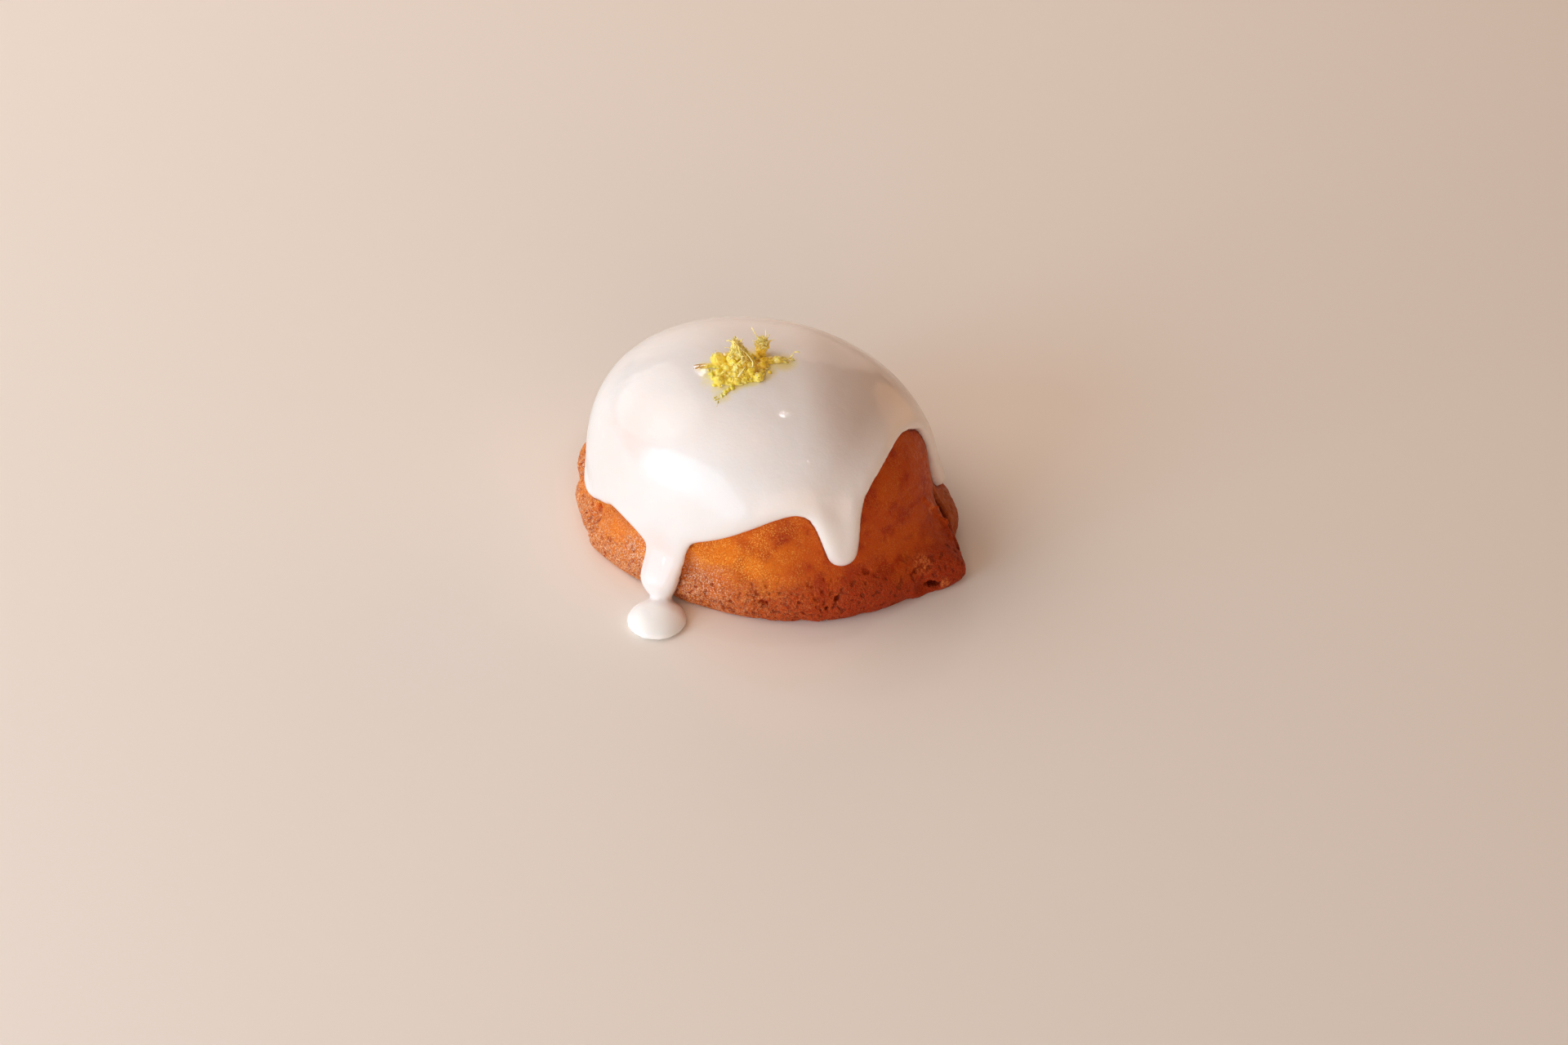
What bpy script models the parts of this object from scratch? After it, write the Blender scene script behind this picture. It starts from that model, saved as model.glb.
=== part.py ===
"""A small iced lemon cake: a sponge baked in a lemon-shaped mould and turned out dome upwards,
with a poured sugar icing that ends in drips and a small heap of lemon zest on top.

Frame, in metres: the origin is the middle of the cake's flat base, +X runs along the lemon to its
front tip, +Y across it to the back, and +Z up. The icing's one long drip ends in a drop at z = 0.
"""

import math
import random
from collections import namedtuple

import bmesh
import bpy
import numpy as np

MM = 0.001
GAP = 0.3 * MM  # clear space kept between two pieces that lie on each other
FACET_SAG = 0.08 * MM  # how far the middle of a flat facet may fall inside the round form

# ---- Sponge: a lemon-shaped dome whose wall flares into a rim, with a blunt tip at each end.
DOME_HALF_LENGTH = 32.3 * MM
DOME_HALF_WIDTH = 25.6 * MM
DOME_HEIGHT = 34.7 * MM
WALL_POWER = 4.4  # how long the wall stays upright before it turns in
CROWN_POWER = 2.45  # how square the shoulder is
CROWN_LEAN = -0.9 * MM  # the crown sits a little towards the back tip
SWELL_CENTRE = (-12.6 * MM, 3.0 * MM)  # where the batter rose a little higher than the rest
SWELL_RADIUS = 9.0 * MM
SWELL_HEIGHT = 0.9 * MM
RIM_HALF_LENGTH = 36.6 * MM
RIM_HALF_WIDTH = 28.0 * MM
RIM_HEIGHT = 10.5 * MM  # where the flare of the rim has died away
RIM_LIP = 3.4 * MM  # the rim's outer edge is upright below this height
UNDERCUT = 0.9 * MM  # how far the foot turns in at the very bottom
FRONT_TIP_REACH = 4.7 * MM  # how far the front tip stands out past the rim
BACK_TIP_REACH = 2.5 * MM
TIP_HALF_WIDTH = 4.6 * MM
TIP_HEIGHT = 6.4 * MM

# Where the rim spread further in the mould: (angle in degrees, spread in degrees, reach).
RIM_SPREADS = (
    (30.0, 14.0, 1.1 * MM),
    (118.0, 20.0, 0.6 * MM),
    (206.0, 15.0, 0.35 * MM),
    (238.0, 13.0, 0.6 * MM),
    (300.0, 18.0, 0.3 * MM),
)

# Rings of the sponge's skin: heights on the rim, then how many more go up to the crown.
RIM_RINGS = tuple(h * MM for h in (0.0, 0.7, 1.7, 2.9, 4.0, 5.1, 6.3, 7.6, 9.0, 10.5))
RIM_COLUMNS = 144
WALL_RINGS = 7
CROWN_RINGS = 5

# Dents in the baked crust: (angle round the dome in degrees, height, radius, depth).
TORN_CRUST = (
    (224.0, 5.8 * MM, 1.5 * MM, 2.0 * MM),  # hole below the icing's left edge
    (222.5, 2.6 * MM, 1.1 * MM, 1.2 * MM),  # the crack that runs down from it
    (196.0, 5.0 * MM, 1.9 * MM, 2.0 * MM),  # notch beside the back tip
    (198.0, 1.5 * MM, 1.6 * MM, 1.4 * MM),
    (265.5, 7.6 * MM, 2.4 * MM, 0.6 * MM),
    (274.0, 6.0 * MM, 1.2 * MM, 0.8 * MM),
    (290.5, 3.8 * MM, 1.1 * MM, 0.7 * MM),
    (309.5, 3.6 * MM, 1.1 * MM, 0.7 * MM),
    (312.5, 5.4 * MM, 1.1 * MM, 0.7 * MM),
    (346.5, 2.6 * MM, 1.7 * MM, 2.0 * MM),  # torn hollow under the front tip
    (350.0, 1.0 * MM, 1.5 * MM, 1.4 * MM),
    (16.0, 3.0 * MM, 1.8 * MM, 1.6 * MM),
    (88.0, 4.0 * MM, 1.5 * MM, 1.3 * MM),
    (155.0, 3.2 * MM, 1.6 * MM, 1.5 * MM),
)
PORES = 80
PORE_RADIUS = (0.9 * MM, 1.7 * MM)
PORE_DEPTH = (0.25 * MM, 0.75 * MM)
PORE_SEED = 5

# ---- Icing: one poured sheet over the dome, with a rolled edge, drips and a drop on the floor.
ICING_THICKNESS = 1.3 * MM
EDGE_RADIUS = 1.3 * MM  # the edge is rounded over this distance
EDGE_ROLL = 0.3 * MM  # the icing gathers to a slightly thicker roll along its edge
ICING_COLUMNS = 136
EDGE_ROWS = tuple(way * MM for way in (0.0, 0.35, 1.0, 2.0, 3.4))  # rows that round the edge
LINING_EDGE_ROWS = (1.2 * MM, 3.0 * MM)
DRIP_ROWS = 4  # rows along the drips, up to the shoulder
SHOULDER = 5.0 * MM  # the shoulder line runs this far above the hem
CROWN_ROWS = 7
THIN_OUT = (0.45, 0.75)  # shares of the way up from the shoulder where every other column ends

# The icing's hem between its drips: (angle round the dome in degrees, height).
# Angle 0 is the front tip, 90 the back side, 180 the back tip and 270 the front side.
HEM = (
    (2.0, 27.2 * MM),
    (58.0, 14.0 * MM),
    (84.0, 18.5 * MM),
    (122.0, 13.0 * MM),
    (160.0, 11.0 * MM),
    (192.0, 9.5 * MM),
    (236.0, 12.6 * MM),
    (262.0, 13.2 * MM),
    (307.0, 21.9 * MM),
)
# Drips: each one's angle, half width, lowest point, extra thickness at its end, how far it draws
# the hem down with it before and after its angle, and the rise of its sides for each unit across.
Drip = namedtuple("Drip", "angle half_width lowest swell before after slope")
FLOOR_DRIP = Drip(259.3, 3.5 * MM, 0.5 * MM, 1.9 * MM, 4.4 * MM, 0.7 * MM, 12.0)
DRIPS = (
    Drip(33.0, 3.0 * MM, 7.0 * MM, 1.2 * MM, 0.8 * MM, 2.5 * MM, 12.0),
    Drip(68.0, 2.8 * MM, 6.2 * MM, 0.6 * MM, 2.0 * MM, 3.0 * MM, 8.0),
    Drip(104.0, 3.2 * MM, 3.6 * MM, 0.8 * MM, 3.2 * MM, 1.4 * MM, 12.0),
    Drip(141.0, 2.6 * MM, 7.8 * MM, 0.5 * MM, 1.6 * MM, 2.4 * MM, 8.0),
    Drip(213.6, 8.1 * MM, 7.3 * MM, 0.2 * MM, 2.0 * MM, 1.0 * MM, 12.0),
    FLOOR_DRIP,
    Drip(318.8, 3.0 * MM, 10.7 * MM, 0.7 * MM, 1.2 * MM, 2.4 * MM, 4.5),
)
DRAW_DOWN = 0.42  # share of a drip's fall that the hem beside it shares
DRIP_FILLET = 3.0 * MM  # how softly a drip leaves the hem
DRIP_CROWDING = 1.6  # how many more columns stand at the sides of a drip ...
DRIP_SIDE_WIDTH = 1.3 * MM  # ... and over what width
BEAD_HEIGHT = 4.4 * MM  # the floor drip swells here ...
BEAD_LENGTH = 2.4 * MM
BEAD_SWELL = 0.16
NECK_HEIGHT = 1.2 * MM  # ... and is pinched here, above its drop
NECK_LENGTH = 1.6 * MM
NECK_PINCH = 0.42
NECK_SHIFT = 0.6 * MM  # towards the front tip

DROP_CENTRE = (-4.5 * MM, -34.1 * MM)
DROP_RADIUS = 5.7 * MM
DROP_HEIGHT = 2.8 * MM

# ---- Zest: grated lemon peel, a loose heap of short thin strips over a damp core.
HEAP_CENTRE = (-2.2 * MM, -3.2 * MM)
HEAP_TURN = math.radians(55.0)
HEAP_HALF_LENGTH = 6.4 * MM
HEAP_HALF_WIDTH = 4.7 * MM
HEAP_HEIGHT = 2.4 * MM
HEAP_FOOT = 0.35 * MM  # the core's upright foot
HEAP_UNEVEN = (0.82, 1.1)  # how far its border runs in and out
HEAP_SECTORS = 26
HEAP_RINGS = 5
SHRED_COUNT = 24
SHRED_SPREAD = 0.82  # share of the heap's oval over which the strips' middles lie
SHRED_LENGTH = (3.0 * MM, 5.2 * MM)
SHRED_WIDTH = 0.75 * MM
SHRED_THICKNESS = 0.4 * MM
SHRED_SINK = 0.1 * MM  # a strip lies this far above the foot's height, so it is half sunk in
SHRED_STEPS = 3
SHRED_ARCH = 1.9 * MM  # how far the middle of a strip may stand up out of the heap
SHRED_CURL = 360.0  # radians of turn for each metre, at most, so a short strip is a comma
ZEST_SEED = 20

# Strips that lead out of the heap: (middle x, middle y, heading in degrees, length, curl).
STRAYS = (
    (-3.0 * MM, -10.0 * MM, 268.0, 5.6 * MM, 90.0),
    (-8.6 * MM, -5.1 * MM, 186.0, 4.6 * MM, -90.0),
    (3.2 * MM, 2.4 * MM, 50.0, 6.6 * MM, -140.0),
)

FINISHES = {  # colour, roughness
    "sponge": ((0.56, 0.17, 0.035, 1.0), 0.6),
    "icing": ((0.86, 0.80, 0.79, 1.0), 0.12),
    "zest": ((0.85, 0.66, 0.05, 1.0), 0.45),
}


# ------------------------------------------------------------------ the dome's form
def rounded_step(value, start, end):
    """0 before start and 1 after end, with a smooth rise between them."""
    share = np.clip((value - start) / (end - start), 0.0, 1.0)
    return share * share * (3.0 - 2.0 * share)


def bump(distance, width):
    """A smooth hump of height 1 that has all but died away two widths from its middle."""
    return np.exp(-((distance / width) ** 2))


def turn_between(angle, degrees):
    """The signed turn to an angle in radians from one in degrees, the short way round."""
    return (angle - math.radians(degrees) + math.pi) % (2 * math.pi) - math.pi


def profile_table(samples=600):
    """The dome's profile: way along it from 0 to 1, radius share, height share, and its length."""
    turn = np.linspace(0.0, math.pi / 2, samples)
    radius = np.maximum(np.cos(turn), 0.0) ** (2.0 / CROWN_POWER)
    radius[-1] = 0.0
    height = np.sin(turn) ** (2.0 / WALL_POWER)
    mean_radius = (DOME_HALF_LENGTH + DOME_HALF_WIDTH) / 2
    steps = np.hypot(np.diff(radius) * mean_radius, np.diff(height) * DOME_HEIGHT)
    way = np.concatenate(([0.0], np.cumsum(steps)))
    return way / way[-1], radius, height, way[-1]


WAY, RADIUS_SHARE, HEIGHT_SHARE, PROFILE_LENGTH = profile_table()


def skin(angle, way):
    """Points on the sponge's smooth skin, at an angle round the dome and a way up its profile."""
    radius = np.interp(way, WAY, RADIUS_SHARE)
    height = np.interp(way, WAY, HEIGHT_SHARE)
    z = DOME_HEIGHT * height
    flare = 1.0 - rounded_step(z, RIM_LIP, RIM_HEIGHT)
    foot = UNDERCUT * np.clip(1.0 - z / RIM_LIP, 0.0, 1.0) ** 3
    spread = sum(reach * bump(turn_between(angle, place), math.radians(wide))
                 for place, wide, reach in RIM_SPREADS)
    out_x = flare * (RIM_HALF_LENGTH - DOME_HALF_LENGTH + spread) - foot
    out_y = flare * (RIM_HALF_WIDTH - DOME_HALF_WIDTH + spread) - foot
    y = (DOME_HALF_WIDTH * radius + out_y) * np.sin(angle)
    reach = np.where(np.cos(angle) > 0.0, FRONT_TIP_REACH, BACK_TIP_REACH)
    out_x = out_x + reach * bump(y, TIP_HALF_WIDTH) / (1.0 + (z / TIP_HEIGHT) ** 3)
    x = (DOME_HALF_LENGTH * radius + out_x) * np.cos(angle) + CROWN_LEAN * height**2
    from_swell = np.hypot(x - SWELL_CENTRE[0], y - SWELL_CENTRE[1])
    z = z + SWELL_HEIGHT * height**2 * bump(from_swell, SWELL_RADIUS)
    return np.stack(np.broadcast_arrays(x, y, z), axis=-1)


def skin_normal(angle, way, step=1e-4):
    """Outward direction of the smooth skin, from two short steps along it."""
    round_it = skin(angle + step, way) - skin(angle - step, way)
    up_it = skin(angle, np.minimum(way + step, 1.0)) - skin(angle, np.maximum(way - step, 0.0))
    normal = np.cross(round_it, up_it)
    length = np.linalg.norm(normal, axis=-1, keepdims=True)
    return np.where(length > 1e-15, normal / np.maximum(length, 1e-15), (0.0, 0.0, 1.0))


def way_at_height(z):
    """The way up the profile at which the skin is at this height."""
    return np.interp(z / DOME_HEIGHT, HEIGHT_SHARE, WAY)


def even_angles(count, crowding=None):
    """Angles that stand evenly round the rim, or closer together where crowding is above 1."""
    fine = np.linspace(0.0, 2 * math.pi, 7201)
    pace = np.hypot(RIM_HALF_LENGTH * np.sin(fine), RIM_HALF_WIDTH * np.cos(fine))
    if crowding is not None:
        pace = pace * crowding(fine)
    round_it = np.concatenate(([0.0], np.cumsum((pace[1:] + pace[:-1]) / 2)))
    return np.interp(np.arange(count) / count * round_it[-1], round_it, fine)


# ------------------------------------------------------------------ building with rings
def add_ring(bm, points):
    return [bm.verts.new(point) for point in points]


def bridge(bm, low, high):
    """Faces between two rings; the high ring has as many points as the low one, or half."""
    count = len(high)
    for i in range(count):
        a, b = high[i], high[(i + 1) % count]
        if len(low) == count:
            bm.faces.new((low[i], low[(i + 1) % count], b, a))
        else:
            p, q, r = low[2 * i], low[2 * i + 1], low[(2 * i + 2) % len(low)]
            bm.faces.new((p, q, a))
            bm.faces.new((q, b, a))
            bm.faces.new((q, r, b))


def close_ring(bm, ring, tip):
    """A fan from the last ring to a single point."""
    top = bm.verts.new(tip)
    for i, vert in enumerate(ring):
        bm.faces.new((vert, ring[(i + 1) % len(ring)], top))


def make_material(name):
    colour, roughness = FINISHES[name]
    material = bpy.data.materials.new(name)
    material.use_nodes = True
    shader = material.node_tree.nodes["Principled BSDF"]
    shader.inputs["Base Color"].default_value = colour
    shader.inputs["Roughness"].default_value = roughness
    shader.inputs["Metallic"].default_value = 0.0
    material.diffuse_color = colour
    return material


def solid_from(bm, name):
    """Turns a bmesh into a named object with its faces pointing out."""
    bmesh.ops.recalc_face_normals(bm, faces=bm.faces)
    mesh = bpy.data.meshes.new(name)
    bm.to_mesh(mesh)
    bm.free()
    obj = bpy.data.objects.new(name, mesh)
    bpy.context.scene.collection.objects.link(obj)
    return obj


def finish(obj, keep_angle=50.0):
    """Gives a finished piece its own material and smooth shading."""
    obj.data.shade_smooth()
    obj.data.set_sharp_from_angle(angle=math.radians(keep_angle))
    obj.data.materials.clear()
    obj.data.materials.append(make_material(obj.name))


def unite(target, others):
    """One solid from target and the loose objects that overlap it; the loose ones are removed."""
    pieces = bpy.data.collections.new("pieces")
    bpy.context.scene.collection.children.link(pieces)
    for obj in others:
        bpy.context.scene.collection.objects.unlink(obj)
        pieces.objects.link(obj)
    union = target.modifiers.new("union", "BOOLEAN")
    union.operation = "UNION"
    union.solver = "MANIFOLD"
    union.operand_type = "COLLECTION"
    union.collection = pieces
    evaluated = target.evaluated_get(bpy.context.evaluated_depsgraph_get())
    joined = bpy.data.meshes.new_from_object(evaluated)
    target.modifiers.remove(union)
    target.data = joined
    for obj in list(pieces.objects):
        bpy.data.objects.remove(obj)
    bpy.data.collections.remove(pieces)


# ------------------------------------------------------------------ sponge
def crust_dents():
    """The torn places and the seeded pores, as (point on the skin, radius, depth)."""
    rng = random.Random(PORE_SEED)
    places = [(math.radians(a), z, radius, depth) for a, z, radius, depth in TORN_CRUST]
    for _ in range(PORES):
        angle = rng.uniform(0.0, 2 * math.pi)
        height = RIM_HEIGHT * rng.uniform(0.02, 0.8)
        places.append((angle, height, rng.uniform(*PORE_RADIUS), rng.uniform(*PORE_DEPTH)))
    return [(skin(a, way_at_height(z)), radius, depth) for a, z, radius, depth in places]


def sponge_skin(angle, way, dents):
    """The baked skin: the smooth form with the crust's dents pressed into it."""
    points = skin(angle, way)
    depth = np.zeros(points.shape[:-1])
    for place, radius, dent in dents:
        depth = depth + dent * bump(np.linalg.norm(points - place, axis=-1), radius)
    pressed = points - skin_normal(angle, way) * depth[..., None]
    pressed[..., 2] = np.where(points[..., 2] <= 0.0, 0.0, np.maximum(pressed[..., 2], 0.0))
    return pressed


def build_sponge():
    dents = crust_dents()
    angles = even_angles(RIM_COLUMNS)
    rim_top = way_at_height(RIM_RINGS[-1])
    crown = rim_top + (1.0 - rim_top) * WALL_RINGS / (WALL_RINGS + CROWN_RINGS)
    levels = [(way_at_height(z), 1) for z in RIM_RINGS]
    levels += [(way, 2) for way in np.linspace(rim_top, crown, WALL_RINGS + 1)[1:]]
    levels += [(way, 4) for way in np.linspace(crown, 1.0, CROWN_RINGS + 1)[1:-1]]
    bm = bmesh.new()
    rings = [add_ring(bm, sponge_skin(angles[::every], way, dents)) for way, every in levels]
    for low, high in zip(rings, rings[1:]):
        bridge(bm, low, high)
    close_ring(bm, rings[-1], skin(0.0, 1.0))
    bm.faces.new(reversed(rings[0]))
    finish(solid_from(bm, "sponge"))


# ------------------------------------------------------------------ icing
def swag_height(degrees):
    """The hem's height between the drips, eased from one point of HEM to the next."""
    height = np.zeros_like(degrees)
    for i, (start, low) in enumerate(HEM):
        end, high = HEM[(i + 1) % len(HEM)]
        span = (end - start) % 360.0
        past = (degrees - start) % 360.0
        share = rounded_step(past, 0.0, span)
        height = np.where(past < span, low + (high - low) * share, height)
    return height


def across(angle, drip):
    """Signed distance round the dome's wall from a drip's middle line."""
    middle = math.radians(drip.angle)
    pace = math.hypot(DOME_HALF_LENGTH * math.sin(middle), DOME_HALF_WIDTH * math.cos(middle))
    return turn_between(angle, drip.angle) * pace


def soft_lower(first, second, fillet):
    """The lower of two heights, with a fillet where they meet."""
    near = np.clip(0.5 + 0.5 * (second - first) / fillet, 0.0, 1.0)
    return second + (first - second) * near - fillet * near * (1.0 - near)


def hem_height(angle):
    """Height of the icing's edge at an angle: the hem, drawn down at each drip."""
    height = swag_height(np.degrees(angle) % 360.0)
    for drip in DRIPS:
        off = across(angle, drip)
        fall = float(swag_height(np.array(drip.angle))) - drip.lowest
        beyond = np.maximum(np.abs(off) - drip.half_width, 0.0)
        height = height - DRAW_DOWN * fall * np.exp(-beyond / np.where(off < 0, drip.before, drip.after))
        share = np.abs(off) / drip.half_width
        inside = np.minimum(share, 0.95)
        round_end = 1.0 - np.sqrt(1.0 - inside**2)
        drawn = drip.lowest + drip.half_width * (round_end + drip.slope * (share - inside))
        height = soft_lower(height, drawn, min(DRIP_FILLET, (1.0 - DRAW_DOWN) * fall))
    return np.maximum(height, FLOOR_DRIP.lowest)


def edge_line(samples=3600):
    """Points closely set along the icing's edge."""
    angle = np.linspace(0.0, 2 * math.pi, samples, endpoint=False)
    return skin(angle, way_at_height(hem_height(angle)))


def drip_crowding(angle):
    """Columns stand closer together at the sides of the drips."""
    crowding = np.ones_like(angle)
    for drip in DRIPS:
        off_side = np.abs(across(angle, drip)) - drip.half_width
        crowding = crowding + DRIP_CROWDING * bump(off_side, DRIP_SIDE_WIDTH)
    return crowding


def icing_depth(points, edge):
    """Thickness of the icing over these points of the skin."""
    flat = points.reshape(-1, 3)
    away = np.array([np.linalg.norm(edge - point, axis=1).min() for point in flat])
    rounding = np.sqrt(1.0 - (1.0 - np.minimum(away / EDGE_RADIUS, 1.0)) ** 2)
    depth = ICING_THICKNESS + EDGE_ROLL * bump(away - 1.6 * EDGE_RADIUS, 1.2 * EDGE_RADIUS)
    for drip in DRIPS:
        bead = skin(math.radians(drip.angle), way_at_height(drip.lowest + drip.half_width))
        depth = depth + drip.swell * bump(np.linalg.norm(flat - bead, axis=1), drip.half_width)
    return (depth * rounding).reshape(points.shape[:-1])


def pinch_floor_drip(points):
    """Widens the long drip to a bead and narrows it to a neck above its drop."""
    middle = skin(math.radians(FLOOR_DRIP.angle), way_at_height(NECK_HEIGHT))
    off = points[..., 0] - middle[0]
    here = bump(off, 1.6 * FLOOR_DRIP.half_width) * (points[..., 1] < 0.0)
    bead = BEAD_SWELL * bump(points[..., 2] - BEAD_HEIGHT, BEAD_LENGTH)
    neck = bump(points[..., 2] - NECK_HEIGHT, NECK_LENGTH)
    points[..., 0] += here * (off * (bead - NECK_PINCH * neck) + NECK_SHIFT * neck)
    return points


def icing_sheet(angles, ways, lift):
    """Points at a lift above the skin, one row for each set of ways up from the edge."""
    return pinch_floor_drip(skin(angles, ways) + skin_normal(angles, ways) * lift[..., None])


def rows_up(angles, edge_rows):
    """Ways up the profile, row by row: along the edge, up the drips, then over the crown."""
    edge_way = way_at_height(hem_height(angles))
    shoulder = way_at_height(swag_height(np.degrees(angles))) + SHOULDER / PROFILE_LENGTH
    rows = [edge_way + rise / PROFILE_LENGTH for rise in edge_rows]
    last = rows[-1]
    rows += [last + (shoulder - last) * i / DRIP_ROWS for i in range(1, DRIP_ROWS + 1)]
    rows += [shoulder + (1.0 - shoulder) * i / CROWN_ROWS for i in range(1, CROWN_ROWS)]
    return np.array(rows)


def close_sheet(bm, rings, rows, top):
    """Rings from rows of points, thinned out towards the crown and closed over at the top."""
    first_crown_row = len(rows) - CROWN_ROWS
    for i, row in enumerate(rows):
        share = (i - first_crown_row) / CROWN_ROWS
        every = 2 ** sum(share > limit for limit in THIN_OUT)
        rings.append(add_ring(bm, row[::every]))
    for lower, upper in zip(rings, rings[1:]):
        bridge(bm, lower, upper)
    close_ring(bm, rings[-1], top)
    return rings[0]


def build_icing():
    angles = even_angles(ICING_COLUMNS, drip_crowding)
    ways = rows_up(angles, EDGE_ROWS)
    lining_ways = rows_up(angles, LINING_EDGE_ROWS)
    outside = icing_sheet(angles, ways, GAP + icing_depth(skin(angles, ways), edge_line()))
    inside = icing_sheet(angles, lining_ways, np.full(lining_ways.shape, GAP + FACET_SAG))
    crown = skin(0.0, 1.0)
    bm = bmesh.new()
    edge_ring = close_sheet(bm, [], outside, crown + (0.0, 0.0, GAP + ICING_THICKNESS))
    close_sheet(bm, [edge_ring], inside, crown + (0.0, 0.0, GAP + FACET_SAG))
    icing = solid_from(bm, "icing")
    unite(icing, [build_drop()])
    finish(icing)


def build_drop():
    """The drop that the long drip ends in: a low round cap, flat on the floor."""
    bm = bmesh.new()
    bmesh.ops.create_uvsphere(bm, u_segments=28, v_segments=12, radius=1.0)
    bmesh.ops.scale(bm, verts=bm.verts, vec=(DROP_RADIUS, DROP_RADIUS, DROP_HEIGHT))
    everything = bm.verts[:] + bm.edges[:] + bm.faces[:]
    bmesh.ops.bisect_plane(bm, geom=everything, plane_co=(0, 0, 0), plane_no=(0, 0, -1), clear_outer=True)
    bmesh.ops.holes_fill(bm, edges=[edge for edge in bm.edges if edge.is_boundary])
    bmesh.ops.translate(bm, verts=bm.verts, vec=(*DROP_CENTRE, 0.0))
    return solid_from(bm, "drop")


# ------------------------------------------------------------------ zest
def icing_top(x, y):
    """Height of the icing's upper face over a place near the crown."""
    lean = (x - CROWN_LEAN) / DOME_HALF_LENGTH
    share = math.hypot(lean, y / DOME_HALF_WIDTH)
    way = float(np.interp(-share, -RADIUS_SHARE, WAY))
    angle = math.atan2(y / DOME_HALF_WIDTH, lean)
    upright = float(skin_normal(np.array(angle), np.array(way))[2])
    return float(skin(angle, way)[2]) + (GAP + ICING_THICKNESS) / upright


def heap_place(along, across_it):
    """A place on the heap's own axes, in the cake's frame."""
    cos, sin = math.cos(HEAP_TURN), math.sin(HEAP_TURN)
    return HEAP_CENTRE[0] + along * cos - across_it * sin, HEAP_CENTRE[1] + along * sin + across_it * cos


def heap_height(share, turn):
    """Height of the heap's core over its foot, from its middle (share 0) to its edge (share 1)."""
    lumps = 1.0 + 0.22 * math.sin(3 * turn + 0.6) + 0.16 * math.sin(7 * turn)
    return HEAP_HEIGHT * (1.0 - min(share, 1.0) ** 2) ** 0.7 * (1.0 + (lumps - 1.0) * share)


def heap_rise(x, y):
    """Height of the heap's core at a place in the cake's frame, 0 outside the heap."""
    cos, sin = math.cos(HEAP_TURN), math.sin(HEAP_TURN)
    off_x, off_y = x - HEAP_CENTRE[0], y - HEAP_CENTRE[1]
    along = (off_x * cos + off_y * sin) / HEAP_HALF_LENGTH
    across_it = (off_y * cos - off_x * sin) / HEAP_HALF_WIDTH
    return heap_height(math.hypot(along, across_it), math.atan2(across_it, along))


def build_heap_core():
    """The damp core of the heap: a low lumpy mound whose underside follows the icing."""
    rng = random.Random(ZEST_SEED)
    reach = [rng.uniform(*HEAP_UNEVEN) for _ in range(HEAP_SECTORS)]
    upper, lower = [], []
    for ring in range(HEAP_RINGS):
        share = 1.0 - ring / HEAP_RINGS
        tops, bottoms = [], []
        for sector in range(HEAP_SECTORS):
            turn = 2 * math.pi * sector / HEAP_SECTORS
            out = share * (1.0 + (reach[sector] - 1.0) * share)
            x, y = heap_place(out * HEAP_HALF_LENGTH * math.cos(turn), out * HEAP_HALF_WIDTH * math.sin(turn))
            floor = icing_top(x, y) + GAP
            bottoms.append((x, y, floor))
            tops.append((x, y, floor + HEAP_FOOT + heap_height(share, turn)))
        upper.append(tops)
        lower.append(bottoms)
    bm = bmesh.new()
    rings = [add_ring(bm, points) for points in reversed(lower)] + [add_ring(bm, points) for points in upper]
    for low, high in zip(rings, rings[1:]):
        bridge(bm, low, high)
    floor = icing_top(*HEAP_CENTRE) + GAP
    close_ring(bm, rings[-1], (*HEAP_CENTRE, floor + HEAP_FOOT + HEAP_HEIGHT))
    close_ring(bm, rings[0], (*HEAP_CENTRE, floor))
    return solid_from(bm, "zest")


def build_shred(x, y, heading, length, arch, curl):
    """One strip of grated peel: a thin ribbon that lies over the heap, arched and curled."""
    bm = bmesh.new()
    rings = []
    step = length / SHRED_STEPS
    heading -= curl * length / 2
    x -= length / 2 * math.cos(heading + curl * length / 4)
    y -= length / 2 * math.sin(heading + curl * length / 4)
    for i in range(SHRED_STEPS + 1):
        share = i / SHRED_STEPS
        half_width = SHRED_WIDTH * (1.0 - 0.55 * abs(2 * share - 1.0) ** 3) / 2
        side = (-math.sin(heading) * half_width, math.cos(heading) * half_width)
        rest = max(icing_top(x + s * side[0], y + s * side[1]) for s in (-1, 0, 1))
        z = rest + GAP + SHRED_SINK + heap_rise(x, y) + arch * 4 * share * (1.0 - share)
        ring = [(x + s * side[0], y + s * side[1], z + up) for s, up in
                ((-1, 0.0), (1, 0.0), (1, SHRED_THICKNESS), (-1, SHRED_THICKNESS))]
        rings.append(add_ring(bm, ring))
        x += step * math.cos(heading)
        y += step * math.sin(heading)
        heading += curl * step
    for low, high in zip(rings, rings[1:]):
        bridge(bm, low, high)
    bm.faces.new(reversed(rings[0]))
    bm.faces.new(rings[-1])
    return solid_from(bm, "shred")


def build_zest():
    zest = build_heap_core()
    rng = random.Random(ZEST_SEED)
    shreds = [
        build_shred(x, y, math.radians(heading), length, 0.0, curl)
        for x, y, heading, length, curl in STRAYS
    ]
    for i in range(SHRED_COUNT):
        out = math.sqrt((i + 0.5) / SHRED_COUNT)
        turn = i * math.pi * (3.0 - math.sqrt(5.0))
        x, y = heap_place(
            SHRED_SPREAD * out * HEAP_HALF_LENGTH * math.cos(turn),
            SHRED_SPREAD * out * HEAP_HALF_WIDTH * math.sin(turn),
        )
        heading = rng.uniform(0.0, math.pi)
        length = rng.uniform(*SHRED_LENGTH)
        arch = SHRED_ARCH * rng.random() ** 2
        shreds.append(build_shred(x, y, heading, length, arch, rng.uniform(-SHRED_CURL, SHRED_CURL)))
    unite(zest, shreds)
    finish(zest)


# ------------------------------------------------------------------ the model
for old in list(bpy.data.objects):
    bpy.data.objects.remove(old)

build_sponge()
build_icing()
build_zest()
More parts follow.
